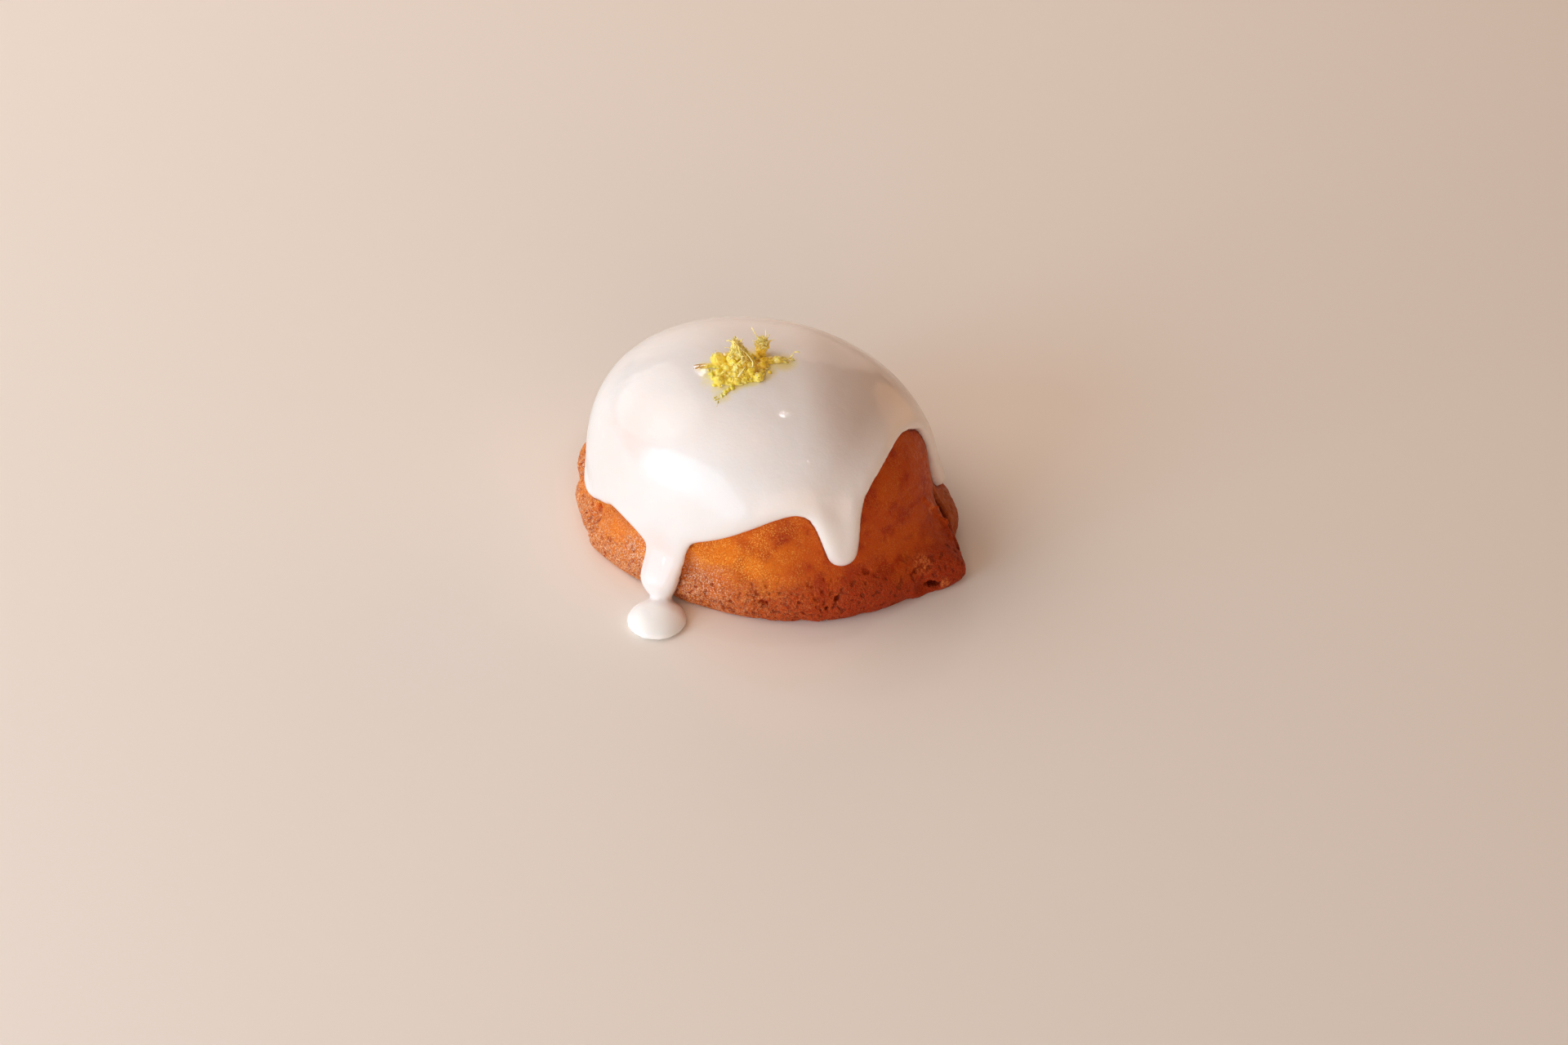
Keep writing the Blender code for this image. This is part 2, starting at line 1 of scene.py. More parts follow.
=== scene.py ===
# %% [markdown]
# # A small iced lemon cake
#
# The cake was baked in a lemon-shaped mould, turned out dome upwards and covered with poured
# sugar icing. The icing ran down in drips, one of them as far as the table, where it ended in a
# round drop. A pinch of grated lemon peel sits on top.
#
# The three solids of the frame, sponge, icing and zest, give the true sizes. This lesson takes
# a finer copy of the first two, adds what they show from close by, and builds the zest shred by
# shred. All lengths are in metres, and MM makes them readable.

# %% Load the frame
import math
import random

import bpy
from mathutils import Matrix, Vector, geometry, noise
from mathutils.bvhtree import BVHTree


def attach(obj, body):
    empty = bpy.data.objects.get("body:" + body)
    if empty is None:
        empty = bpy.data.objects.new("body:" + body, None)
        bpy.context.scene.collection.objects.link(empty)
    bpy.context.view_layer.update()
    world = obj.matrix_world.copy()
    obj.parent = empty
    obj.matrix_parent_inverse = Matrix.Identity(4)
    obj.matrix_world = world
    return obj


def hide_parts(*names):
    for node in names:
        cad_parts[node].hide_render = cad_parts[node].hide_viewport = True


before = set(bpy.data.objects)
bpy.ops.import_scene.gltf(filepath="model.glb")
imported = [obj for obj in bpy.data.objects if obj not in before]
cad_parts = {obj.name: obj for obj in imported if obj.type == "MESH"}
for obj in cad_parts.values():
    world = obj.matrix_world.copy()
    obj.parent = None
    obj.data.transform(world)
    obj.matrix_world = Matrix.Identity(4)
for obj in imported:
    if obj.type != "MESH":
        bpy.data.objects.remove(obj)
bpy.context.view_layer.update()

MM = 0.001

# %% [markdown]
# ## The camera
#
# A long lens looks down at the cake at an angle of 40 degrees, from a little to the right of its
# long side. The camera could be aimed with a Track To constraint, but a matrix made of three
# turns keeps the picture's small tilt as one plain number.

# %% Place the camera
AZIMUTH = math.radians(27.3)
ELEVATION = math.radians(40.0)
TILT = math.radians(-1.34)
DISTANCE = 635 * MM
AIM = Vector((3.84 * MM, 0.40 * MM, 0.0))
LENS_MM = 78.49

turn = Matrix.Rotation(AZIMUTH, 4, "Z") @ Matrix.Rotation(math.pi / 2 - ELEVATION, 4, "X")
back = turn.to_3x3() @ Vector((0, 0, 1))
bpy.ops.object.camera_add()
camera = bpy.context.object
camera.name = "camera"
stand = Matrix.Translation(AIM + back * DISTANCE)
camera.matrix_world = stand @ turn @ Matrix.Rotation(TILT, 4, "Z")
camera.data.lens = LENS_MM
camera.data.clip_start = 0.01
bpy.context.scene.camera = camera
print("camera at", [round(value / MM) for value in camera.location], "mm")

# %% [markdown]
# ## The table
#
# The cake stands on a plain pale table. A wide plane is enough. It also throws light back up
# under the rim, which is why its colour matters: on a dark table the drips would look grey.

# %% Make the table
TABLE_PALE = (0.90, 0.84, 0.78, 1)
TABLE_ROUGHNESS = 0.45
TABLE_SIDE = 6.0
TABLE_GAP = 0.05 * MM

bpy.ops.mesh.primitive_plane_add(size=TABLE_SIDE, location=(0, 0, -TABLE_GAP))
table = bpy.context.object
table.name = "table_top"
paint = bpy.data.materials.new("pale_table")
paint.use_nodes = True
sockets = paint.node_tree.nodes["Principled BSDF"].inputs
sockets["Base Color"].default_value = TABLE_PALE
sockets["Roughness"].default_value = TABLE_ROUGHNESS
table.data.materials.append(paint)
print("table:", table.dimensions.x, "m wide")

# %% [markdown]
# ## The light
#
# Six large soft lights stand round the cake. Cool daylight comes from low in front on the left,
# and warmer, weaker light from the front right, the left side and behind, so that the right side
# stays dim. Area lights of this size have soft shadow edges, which suit icing better than a spot
# or a sun. Four very small lights add almost no brightness, but glossy icing and wet peel mirror
# them as sparkles. The world's colour adds a trace of the room.

# %% Light the scene
LIGHT_DISTANCE = 0.9
LIGHTS = (  # name, azimuth, elevation, width and height in metres, watts and colour
    ("front_window_left", -30, 10, 0.9, 0.9, 8.0, (0.598, 0.832, 1.0)),
    ("front_window_right", 30, 10, 0.9, 0.9, 4.5, (1.0, 0.715, 0.530)),
    ("side_window", -90, 35, 0.9, 0.9, 3.7, (1.0, 0.945, 0.912)),
    ("lamp_left", -60, 60, 0.9, 0.9, 2.1, (1.0, 0.637, 0.405)),
    ("lamp_behind_left", -150, 10, 0.9, 0.9, 2.3, (1.0, 0.802, 0.672)),
    ("lamp_behind_right", 150, 10, 0.9, 0.9, 2.8, (1.0, 0.568, 0.311)),
    ("sparkle_front", 51, 59, 0.03, 0.03, 0.26, (1.0, 0.95, 0.90)),
    ("sparkle_behind", -162, 71, 0.03, 0.03, 0.22, (1.0, 0.95, 0.90)),
    ("sparkle_left", -133, 48, 0.035, 0.035, 0.14, (1.0, 0.97, 0.94)),
    ("window_gap", -34, 10, 0.05, 0.12, 0.30, (1.0, 0.98, 0.96)),
)
ROOM_COLOUR = (1.0, 0.70, 0.45, 1)
ROOM_STRENGTH = 0.01


def soft_light(name, azimuth, elevation, width, height, watts, colour):
    """An area light that looks at the cake; azimuth 0 is in front, and -90 to the left."""
    a, e = math.radians(azimuth), math.radians(elevation)
    away = Vector((math.sin(a) * math.cos(e), -math.cos(a) * math.cos(e), math.sin(e)))
    bpy.ops.object.light_add(type="AREA", location=away * LIGHT_DISTANCE)
    light = bpy.context.object
    light.name = name
    light.rotation_euler = away.to_track_quat("Z", "Y").to_euler()
    light.data.shape = "ELLIPSE"
    light.data.size = width
    light.data.size_y = height
    light.data.energy = watts
    light.data.color = colour


for light in LIGHTS:
    soft_light(*light)
room = bpy.data.worlds.new("dim_room")
bpy.context.scene.world = room
room.use_nodes = True
sockets = room.node_tree.nodes["Background"].inputs
sockets["Color"].default_value = ROOM_COLOUR
sockets["Strength"].default_value = ROOM_STRENGTH
bpy.context.scene.view_settings.view_transform = "Standard"

# %% [markdown]
# ## Tools for the pieces
#
# Operators act on whatever is selected, and loading the frame leaves its nodes selected, so each
# step first selects one object alone. The frame's meshes are loose triangles: a copy has its
# corners merged and its triangles joined to quads, and only then can it be made finer.

# %% Select, copy and apply
MERGE_WITHIN = 0.002 * MM
QUAD_ANGLE = math.radians(60)


def only(obj):
    """Selects this object alone and makes it active."""
    bpy.ops.object.select_all(action="DESELECT")
    obj.select_set(True)
    bpy.context.view_layer.objects.active = obj


def copy_of_node(node, name):
    """A merged copy, in quads, of a node's mesh, as a new piece."""
    piece = bpy.data.objects.new(name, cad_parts[node].data.copy())
    bpy.context.scene.collection.objects.link(piece)
    piece.data.materials.clear()
    only(piece)
    bpy.ops.object.mode_set(mode="EDIT")
    bpy.ops.mesh.select_all(action="SELECT")
    bpy.ops.mesh.remove_doubles(threshold=MERGE_WITHIN)
    bpy.ops.mesh.tris_convert_to_quads(face_threshold=QUAD_ANGLE, shape_threshold=QUAD_ANGLE)
    bpy.ops.mesh.normals_make_consistent(inside=False)
    bpy.ops.object.mode_set(mode="OBJECT")
    return piece


def modify(piece, kind, **settings):
    """Adds a modifier with these settings and applies it."""
    only(piece)
    bpy.ops.object.modifier_add(type=kind)
    modifier = piece.modifiers[-1]
    for key, value in settings.items():
        setattr(modifier, key, value)
    bpy.ops.object.modifier_apply(modifier=modifier.name)


def skin_of(obj):
    """The object's surface, ready to be searched for its nearest place or hit by a ray."""
    return BVHTree.FromObject(obj, bpy.context.evaluated_depsgraph_get())


# %% Weigh and measure
def limited(value):
    """The value, held between 0 and 1."""
    return min(max(value, 0.0), 1.0)


def step(value, start, end):
    """0 up to start and 1 from end on, with a smooth rise between them."""
    share = limited((value - start) / (end - start))
    return share * share * (3.0 - 2.0 * share)


def weigh(piece, group, rule):
    """Gives each point of the piece a weight between 0 and 1 by a rule on the point."""
    weights = piece.vertex_groups.new(name=group)
    for vertex in piece.data.vertices:
        weights.add((vertex.index,), rule(vertex), "REPLACE")


def remember(piece, name, values):
    """Keeps a number for each point of the piece, which its material can read."""
    piece.data.attributes.new(name, "FLOAT", "POINT").data.foreach_set("value", values)


print("tools ready")

# %% [markdown]
# ## The sponge
#
# Baked sponge has two kinds of skin. The dome was pressed against the smooth mould and is nearly
# even. The rim stood free at the mould's edge, and there the crumb shows: grains, pits and a
# ragged edge. With bump alone the rim's outline would stay as smooth as clay, so the mesh has to
# be as fine as the crumb. The copy is remeshed finely all over, and then a Decimate modifier
# thins out only what lies under the icing or flat on the table, which a vertex group marks.

# %% Copy the sponge and make its visible crust fine
CRUST_VOXEL = 0.22 * MM
COVERED_WITHIN = 1.6 * MM
FLOOR_SKIN = 0.03 * MM
KEPT_SHARE = 0.33

sponge = copy_of_node("sponge", "sponge_crust")
modify(sponge, "SUBSURF", levels=2, render_levels=2)
modify(sponge, "REMESH", mode="VOXEL", voxel_size=CRUST_VOXEL)
modify(sponge, "SMOOTH", factor=0.5, iterations=4)
icing_node = skin_of(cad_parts["icing"])


def covered(vertex):
    """1 under the icing and underneath the cake, 0 where the crust shows."""
    if vertex.co.z < FLOOR_SKIN:
        return 1.0
    place, _, _, _ = icing_node.ray_cast(vertex.co, vertex.normal, COVERED_WITHIN)
    return 1.0 if place else 0.0


weigh(sponge, "covered", covered)
print("sponge, evenly fine:", len(sponge.data.polygons), "faces")
modify(sponge, "DECIMATE", ratio=KEPT_SHARE, vertex_group="covered", vertex_group_factor=1.0)
print("sponge, thinned where covered:", len(sponge.data.polygons), "faces")

# %% [markdown]
# ### Rim and dome
#
# Two more vertex groups tell the crumbly rim from the smooth dome. Noise lets the border between
# them wander, because a straight line round the cake would look machined.

# %% Mark the rim and the dome
RIM_TOP = (5.6 * MM, 9.8 * MM)
RIM_FOOT = (0.05 * MM, 0.4 * MM)
DOME_FOOT = (2.0 * MM, 5.0 * MM)
FINER_CRUMB = (18 * MM, 30 * MM)


def rim_share(point):
    """1 on the crumbly rim and 0 on the dome, with an uneven border; 0 underneath."""
    wander = 2.4 * MM * noise.noise(point / (6.0 * MM))
    return (1.0 - step(point.z + wander, *RIM_TOP)) * step(point.z, *RIM_FOOT)


def rim_weight(vertex):
    """The rim's share, halved towards the right tip, where the crumb is finer."""
    return rim_share(vertex.co) * (1.0 - 0.5 * step(vertex.co.x, *FINER_CRUMB))


def dome_weight(vertex):
    """The rest of the crust, down to where it nears the floor."""
    return (1.0 - rim_share(vertex.co)) * step(vertex.co.z, *DOME_FOOT)


weigh(sponge, "rim", rim_weight)
weigh(sponge, "dome", dome_weight)
print("groups:", [group.name for group in sponge.vertex_groups])

# %% [markdown]
# ### Sagging places
#
# The right tip sagged while it was warm, so its lower lip hangs further out than the mould made
# it, and the rim on the left spread too. The grab brush of sculpt mode would pull them. Here the
# same pull is a move that fades out with the distance from its middle.

# %% Pull the crust
PULLS = (  # middle, where the pull ends, where it is full, and the move, in mm
    ((37.6, -6.2, 1.8), 6.0, 1.6, (0.6, -1.6, -0.8)),
    ((-25.0, -20.5, 2.6), 8.0, 1.0, (-0.4, -0.5, -0.2)),
)

for middle, end, full, move in PULLS:
    for vertex in sponge.data.vertices:
        far = (vertex.co - Vector(middle) * MM).length
        vertex.co += Vector(move) * MM * step(far, end * MM, full * MM)
        vertex.co.z = max(vertex.co.z, 0.0)
print("pulled in", len(PULLS), "places")

# %% [markdown]
# ### Torn places
#
# When the cake left the mould it tore in a few places: a hole with a crack under it on the left,
# a hollow beside the tip, some small pits, and a ridge on the right that stands off from the
# rim behind it. Each one is a short line with a width and a depth. The crust near the line
# moves in or out along its normal, as under the inflate brush of sculpt mode, but lines can be
# set to a tenth of a millimetre.

# %% Tear the crust
TORN = (  # start, end, half width and depth in mm; a depth below 0 is a ridge
    ((-25.0, -18.1, 7.5), (-24.8, -20.0, 5.8), 0.95, 1.1),
    ((-24.7, -20.6, 5.0), (-26.3, -19.8, 1.2), 0.45, 0.8),
    ((-38.4, -2.5, 4.0), (-37.2, -4.5, 4.6), 0.60, 0.8),
    ((36.6, -6.3, 2.0), (37.8, -5.3, 1.4), 0.95, 2.4),
    ((36.6, 4.6, 5.2), (37.9, 3.2, 4.2), 0.70, 0.8),
    ((34.0, -8.2, 5.2), (34.6, -6.6, 5.9), 0.45, 0.5),
    ((27.7, -14.4, 8.4), (27.9, -14.1, 8.3), 0.70, 0.4),
    ((24.3, -20.4, 5.4), (24.7, -20.2, 5.2), 0.55, 0.8),
    ((23.6, -21.6, 3.6), (23.4, -21.7, 3.3), 0.50, 0.9),
    ((12.4, -25.9, 4.4), (13.2, -25.7, 4.2), 0.45, 0.7),
    ((2.5, -27.2, 6.2), (3.3, -27.1, 5.8), 0.45, 0.7),
    ((-2.3, -26.3, 8.2), (-2.0, -26.6, 7.2), 0.60, 0.6),
    ((30.6, 9.4, 10.0), (32.4, 8.8, 8.2), 1.5, 1.1),
    ((32.4, 8.8, 8.2), (35.6, 6.6, 6.0), 1.4, 1.1),
    ((32.0, 1.2, 14.8), (32.2, 5.0, 10.2), 0.9, -0.55),
    ((32.2, 5.0, 10.2), (34.2, 5.2, 7.2), 0.8, -0.65),
    ((34.2, 5.2, 7.2), (36.8, 3.4, 5.8), 0.7, -0.45),
)
TORN_TOP = 17 * MM
TORN_MEASURE = 1.0 * MM
SHOWS_FROM = 0.1 * MM


def tear(point):
    """How far the crust is moved inwards at this place."""
    if point.z > TORN_TOP or point.z < FLOOR_SKIN:
        return 0.0
    depth = 0.0
    ragged = 0.22 * MM * noise.noise(point / (0.55 * MM))
    for start, end, half_width, deep in TORN:
        start, end, half_width = Vector(start) * MM, Vector(end) * MM, half_width * MM
        if (point - start).length > (end - start).length + 2 * half_width:
            continue
        nearest, share = geometry.intersect_point_line(point, start, end)
        nearest = start if share < 0.0 else end if share > 1.0 else nearest
        wall = 0.55 if deep > 0.0 else 0.1
        away = (point - nearest).length + ragged
        depth += deep * MM * step(away, half_width, wall * half_width)
    return depth


def move_along_normals(piece, distances):
    """Moves each point out by its distance; the normals are read before any point moves."""
    places = [vertex.co + vertex.normal * far
              for vertex, far in zip(piece.data.vertices, distances)]
    for vertex, place in zip(piece.data.vertices, places):
        vertex.co = place


depths = [tear(vertex.co) for vertex in sponge.data.vertices]
move_along_normals(sponge, [-depth for depth in depths])
remember(sponge, "torn", [limited(depth / TORN_MEASURE) for depth in depths])
print("torn:", sum(depth > SHOWS_FROM for depth in depths), "points; deepest",
      round(max(depths) / MM, 2), "mm")

# %% [markdown]
# ### Crumb
#
# Displace modifiers push the mesh in and out by small procedural textures, each one weighted to
# its part of the crust. The first two are the soft unevenness of batter. The others are the
# crumb: Voronoi cells turned inside out are grains, and clouds with only their lowest parts kept
# are pits. What the crumb adds is kept as an attribute, so that the material can paint the tips
# lighter and the hollows darker, as painted highlight and painted shade.

# %% Press the crumb into the crust
CRUMB_MEASURE = 0.26 * MM


def texture(name, kind, size, low=None, high=None, **settings):
    """A procedural texture for a Displace modifier; low and high stretch its contrast."""
    made = bpy.data.textures.new(name, kind)
    made.noise_scale = size
    for key, value in settings.items():
        setattr(made, key, value)
    if low is not None:
        made.use_color_ramp = True
        first, last = made.color_ramp.elements[0], made.color_ramp.elements[1]
        first.position, first.color = low, (0, 0, 0, 1)
        last.position, last.color = high, (1, 1, 1, 1)
    return made


def displace(piece, source, depth, middle=0.5, group=""):
    """Pushes a group's points out or in by how far the texture is from its middle value."""
    modify(piece, "DISPLACE", texture=source, texture_coords="LOCAL", direction="NORMAL",
           strength=depth, mid_level=middle, vertex_group=group)


displace(sponge, texture("batter_lumps", "CLOUDS", 7.0 * MM, noise_depth=1), 0.55 * MM, 0.5, "dome")
displace(sponge, texture("rim_lumps", "CLOUDS", 3.0 * MM, noise_depth=1), 0.38 * MM, 0.5, "rim")
before = [vertex.co.copy() for vertex in sponge.data.vertices]
outwards = [vertex.normal.copy() for vertex in sponge.data.vertices]
displace(sponge, texture("rim_grains", "VORONOI", 0.55 * MM, distance_metric="DISTANCE"),
         -0.18 * MM, 0.45, "rim")
displace(sponge, texture("rim_crumb", "CLOUDS", 0.45 * MM, noise_depth=1), 0.20 * MM, 0.5, "rim")
displace(sponge, texture("rim_pits", "CLOUDS", 0.95 * MM, 0.20, 0.28, noise_depth=0),
         0.32 * MM, 1.0, "rim")
displace(sponge, texture("dome_grain", "CLOUDS", 0.7 * MM, noise_depth=2), 0.12 * MM, 0.5, "dome")
crumb = [0.5 + (vertex.co - was).dot(out) / CRUMB_MEASURE
         for vertex, was, out in zip(sponge.data.vertices, before, outwards)]
remember(sponge, "crumb", [limited(height) for height in crumb])
only(sponge)
bpy.ops.object.shade_smooth()
for vertex in sponge.data.vertices:
    vertex.co.z = max(vertex.co.z, 0.0)
print("sponge box:", [round(side / MM, 1) for side in sponge.dimensions], "mm; crumb from",
      round(min(crumb), 2), "to", round(max(crumb), 2))

# %% [markdown]
# ## The icing
#
# Poured icing is one thick, slow sheet. Its edge is a soft roll, and each drip ends in a bead,
# because surface tension pulls it round. The frame's sheet has the flow already, so the copy is
# only rounded off: subdivided, remeshed evenly so that no coarse face shows, and smoothed. Then
# its underside is pressed onto the crust, because icing sticks to the cake.

# %% Copy the icing and round it off
ICING_VOXEL = 0.40 * MM

icing = copy_of_node("icing", "poured_icing")
modify(icing, "SUBSURF", levels=2, render_levels=2)
modify(icing, "REMESH", mode="VOXEL", voxel_size=ICING_VOXEL)
modify(icing, "SMOOTH", factor=0.5, iterations=10)
print("icing:", len(icing.data.polygons), "faces")

# %% Press its underside onto the crust
SEARCH_WITHIN = 2.0 * MM
STICK_WITHIN = 0.75 * MM
SINK = 0.12 * MM

crust_skin = skin_of(sponge)
pressed = []
for vertex in icing.data.vertices:
    place, normal, _, away = crust_skin.find_nearest(vertex.co, SEARCH_WITHIN)
    if place is None:
        continue
    inside = (vertex.co - place).dot(normal) < 0.0
    lining = vertex.normal.dot(normal) < -0.2
    if inside or (lining and away < STICK_WITHIN):
        pressed.append((vertex.index, place - normal * SINK))
for index, place in pressed:
    icing.data.vertices[index].co = place
modify(icing, "SMOOTH", factor=0.4, iterations=2)
bpy.ops.object.shade_smooth()
print(len(pressed), "points of the icing touch the crust")

# %% [markdown]
# ### The dark line under the hem
#
# Along the icing's edge the crust is darker, in a line less than a millimetre wide: crust that
# has drawn up syrup, and painted contact shadow under the icing's edge. Each point's distance to
# the icing is kept as an attribute. A line painted by hand would do too, but this one fits by
# itself.

# %% Measure how near the icing is
HEM_LINE = 0.8 * MM

icing_skin = skin_of(icing)
near_icing = []
for vertex in sponge.data.vertices:
    _, _, _, away = icing_skin.find_nearest(vertex.co, HEM_LINE)
    near_icing.append(0.0 if away is None else 1.0 - away / HEM_LINE)
remember(sponge, "near_icing", near_icing)
print(sum(near > 0.0 for near in near_icing), "points of the crust are near the icing")

# %% [markdown]
# ## The zest
#
# A fine grater leaves two things: damp pulp, which clings in soft lumps, and thin shreds of
# peel, which curl up as they dry. Here the heap lies in a wide patch, with two tufts that stand
# up, an arm to the right and a tail to the left. First come the tools that find a place in it.

# %% The place of the heap
HEAP_MIDDLE = Vector((-2.3 * MM, -3.2 * MM))
HEAP_TURN = math.radians(55.0)
HEAP_REACH = (6.0 * MM, 4.4 * MM)
GOLDEN_TURN = math.radians(137.508)
ABOVE_ALL = 60 * MM
DOWN = Vector((0, 0, -1))


def top_of(skin, x, y):
    """The height of a surface's upper side at this place, and 0 beside it."""
    place, _, _, _ = skin.ray_cast(Vector((x, y, ABOVE_ALL)), DOWN)
    return place.z if place else 0.0


def icing_height(x, y):
    return top_of(icing_skin, x, y)


def in_heap(out, turn):
    """A place in the heap's oval; out is 0 in the middle and 1 at the border."""
    along = out * HEAP_REACH[0] * math.cos(turn)
    across = out * HEAP_REACH[1] * math.sin(turn)
    return HEAP_MIDDLE + Matrix.Rotation(HEAP_TURN, 2) @ Vector((along, across))


print("the icing under the heap is", round(icing_height(*HEAP_MIDDLE) / MM, 2), "mm high")

# %% [markdown]
# ### Pulp
#
# The pulp is one low mound and many round lumps, most of them small. Lumps that only lie beside
# each other would look like caviar. A voxel remesh melts them together, and a little smoothing
# rounds the creases, as water does. The tufts get a core of lumps too.

# %% Set out the lumps
SMALL_LUMPS = 210
SMALL_RADIUS = (0.26 * MM, 0.66 * MM)
MOUND_RISE = 1.0 * MM
MOUND_SHARE = 0.86
MOUND_SUNK = 0.5 * MM
BIG_LUMPS = (  # x, y and radius in mm
    (-6.9, -3.0, 1.60), (-4.4, -7.6, 1.15), (1.9, -4.1, 1.05), (2.6, 1.8, 0.95), (-1.3, -6.6, 0.85),
    (-5.5, -5.5, 0.80), (0.9, -0.9, 0.85), (-2.6, -4.6, 0.95),
)
TRAILS = (  # start, end, lumps, the radius of the first and of the last, and their scatter in mm
    ((0.6, 0.9), (4.7, 3.1), 34, 0.60, 0.22, 0.75),
    ((-7.6, -4.5), (-10.3, -5.8), 14, 0.46, 0.14, 0.12),
    ((-1.7, -8.4), (-2.0, -10.2), 7, 0.50, 0.26, 0.40),
    ((-2.2, -10.4), (-3.5, -11.3), 5, 0.26, 0.20, 0.35),
    ((-3.0, -11.6), (-2.3, -12.6), 4, 0.24, 0.16, 0.30),
)
FRONT_TUFT = (Vector((-2.8, -2.2, 37.2)) * MM, Vector((-4.6, -0.8, 40.3)) * MM)
BACK_TUFT = (Vector((-0.8, 2.3, 37.0)) * MM, Vector((-1.1, 2.9, 39.3)) * MM)

rng = random.Random(7)


def lump(x, y, z, radius, flat=0.75):
    """An uneven ball, turned at random; flat is its height as a share of its width."""
    bpy.ops.mesh.primitive_ico_sphere_add(
        subdivisions=2, radius=radius, location=(x, y, z),
        scale=(rng.uniform(0.85, 1.2), rng.uniform(0.85, 1.2), flat),
        rotation=(0, 0, rng.uniform(0, math.pi)))
    return bpy.context.object


def joined(pieces, name):
    """One object from many, with its place and size in its mesh."""
    bpy.ops.object.select_all(action="DESELECT")
    for piece in pieces:
        piece.select_set(True)
    bpy.context.view_layer.objects.active = pieces[0]
    bpy.ops.object.join()
    pieces[0].name = name
    bpy.ops.object.transform_apply(location=True, rotation=True, scale=True)
    return pieces[0]


bpy.ops.mesh.primitive_uv_sphere_add(
    segments=48, ring_count=24, radius=1.0, rotation=(0, 0, HEAP_TURN),
    location=(*HEAP_MIDDLE, icing_height(*HEAP_MIDDLE) - MOUND_SUNK),
    scale=(MOUND_SHARE * HEAP_REACH[0], MOUND_SHARE * HEAP_REACH[1], MOUND_RISE))
lumps = [bpy.context.object]
for x, y, radius in BIG_LUMPS:
    x, y, radius = x * MM, y * MM, radius * MM
    lumps.append(lump(x, y, icing_height(x, y) + 0.30 * radius, radius, flat=0.85))
for i in range(SMALL_LUMPS):
    out = math.sqrt((i + 0.5) / SMALL_LUMPS)
    x, y = in_heap(out * rng.uniform(0.85, 1.08), i * GOLDEN_TURN)
    radius = rng.uniform(*SMALL_RADIUS) * (1.0 - 0.3 * out)
    rise = MOUND_RISE * (1.0 - out * out) * rng.uniform(0.2, 1.0)
    lumps.append(lump(x, y, icing_height(x, y) + 0.2 * radius + rise, radius))
for start, end, count, first, last, scatter in TRAILS:
    for i in range(count):
        share = i / (count - 1)
        x = (start[0] + (end[0] - start[0]) * share + rng.uniform(-1, 1) * scatter) * MM
        y = (start[1] + (end[1] - start[1]) * share + rng.uniform(-1, 1) * scatter) * MM
        radius = (first + (last - first) * share) * rng.uniform(0.8, 1.15) * MM
        lumps.append(lump(x, y, icing_height(x, y) + 0.1 * radius, radius))
print(len(lumps), "lumps in the patch")

# %% Build the cores of the tufts
FRONT_CORE = 80
BACK_CORE = 48


def core(tuft, count, reach_at, radius_at, flat):
    """Lumps that wind up a tuft; two rules give their reach and radius in mm by the height."""
    for i in range(count):
        share = i / (count - 1)
        around = i * GOLDEN_TURN
        reach = reach_at(share) * MM * rng.uniform(0.4, 1.0)
        x, y, z = tuft[0].lerp(tuft[1], share)
        lumps.append(lump(x + reach * math.cos(around), y + reach * math.sin(around), z,
                          radius_at(share) * MM, flat))


core(FRONT_TUFT, FRONT_CORE, lambda share: 2.1 * (1.0 - share) ** 1.2 + 0.35,
     lambda share: 0.55 - 0.22 * share, 1.1)
core(BACK_TUFT, BACK_CORE, lambda share: 0.45 + 0.95 * math.sin(math.pi * min(share * 1.1, 1.0)),
     lambda share: 0.36, 1.0)
print(len(lumps), "lumps with the tufts")

# %% Melt them together
PULP_VOXEL = 0.11 * MM

pulp = joined(lumps, "zest_pulp")
modify(pulp, "REMESH", mode="VOXEL", voxel_size=PULP_VOXEL)
modify(pulp, "SMOOTH", factor=0.5, iterations=3)
displace(pulp, texture("pulp_grain", "CLOUDS", 0.38 * MM, noise_depth=2), 0.26 * MM)
bpy.ops.object.shade_smooth()
print("pulp:", len(pulp.data.polygons), "faces")

# %% [markdown]
# ### Shreds
#
# Each shred is a ribbon: a short walk in steps that turns a little all the time. The steps give
# rings of points, and the rings are joined by faces. Hair particles could make such shreds too,
# but a mesh keeps its true thickness wherever the model is used. from_pydata takes all ribbons
# at once, where an operator for each would be slow, and each small one has few faces.

# %% A collector of ribbons
SHRED_THICKNESS = 0.11 * MM
SHRED_STEPS = 7
SHRED_SIDES = 4


def way_between(start, end):
    """Length, heading and pitch from one point to another."""
    along = Vector(end) - Vector(start)
    return along.length, math.atan2(along.y, along.x), math.asin(along.z / along.length)


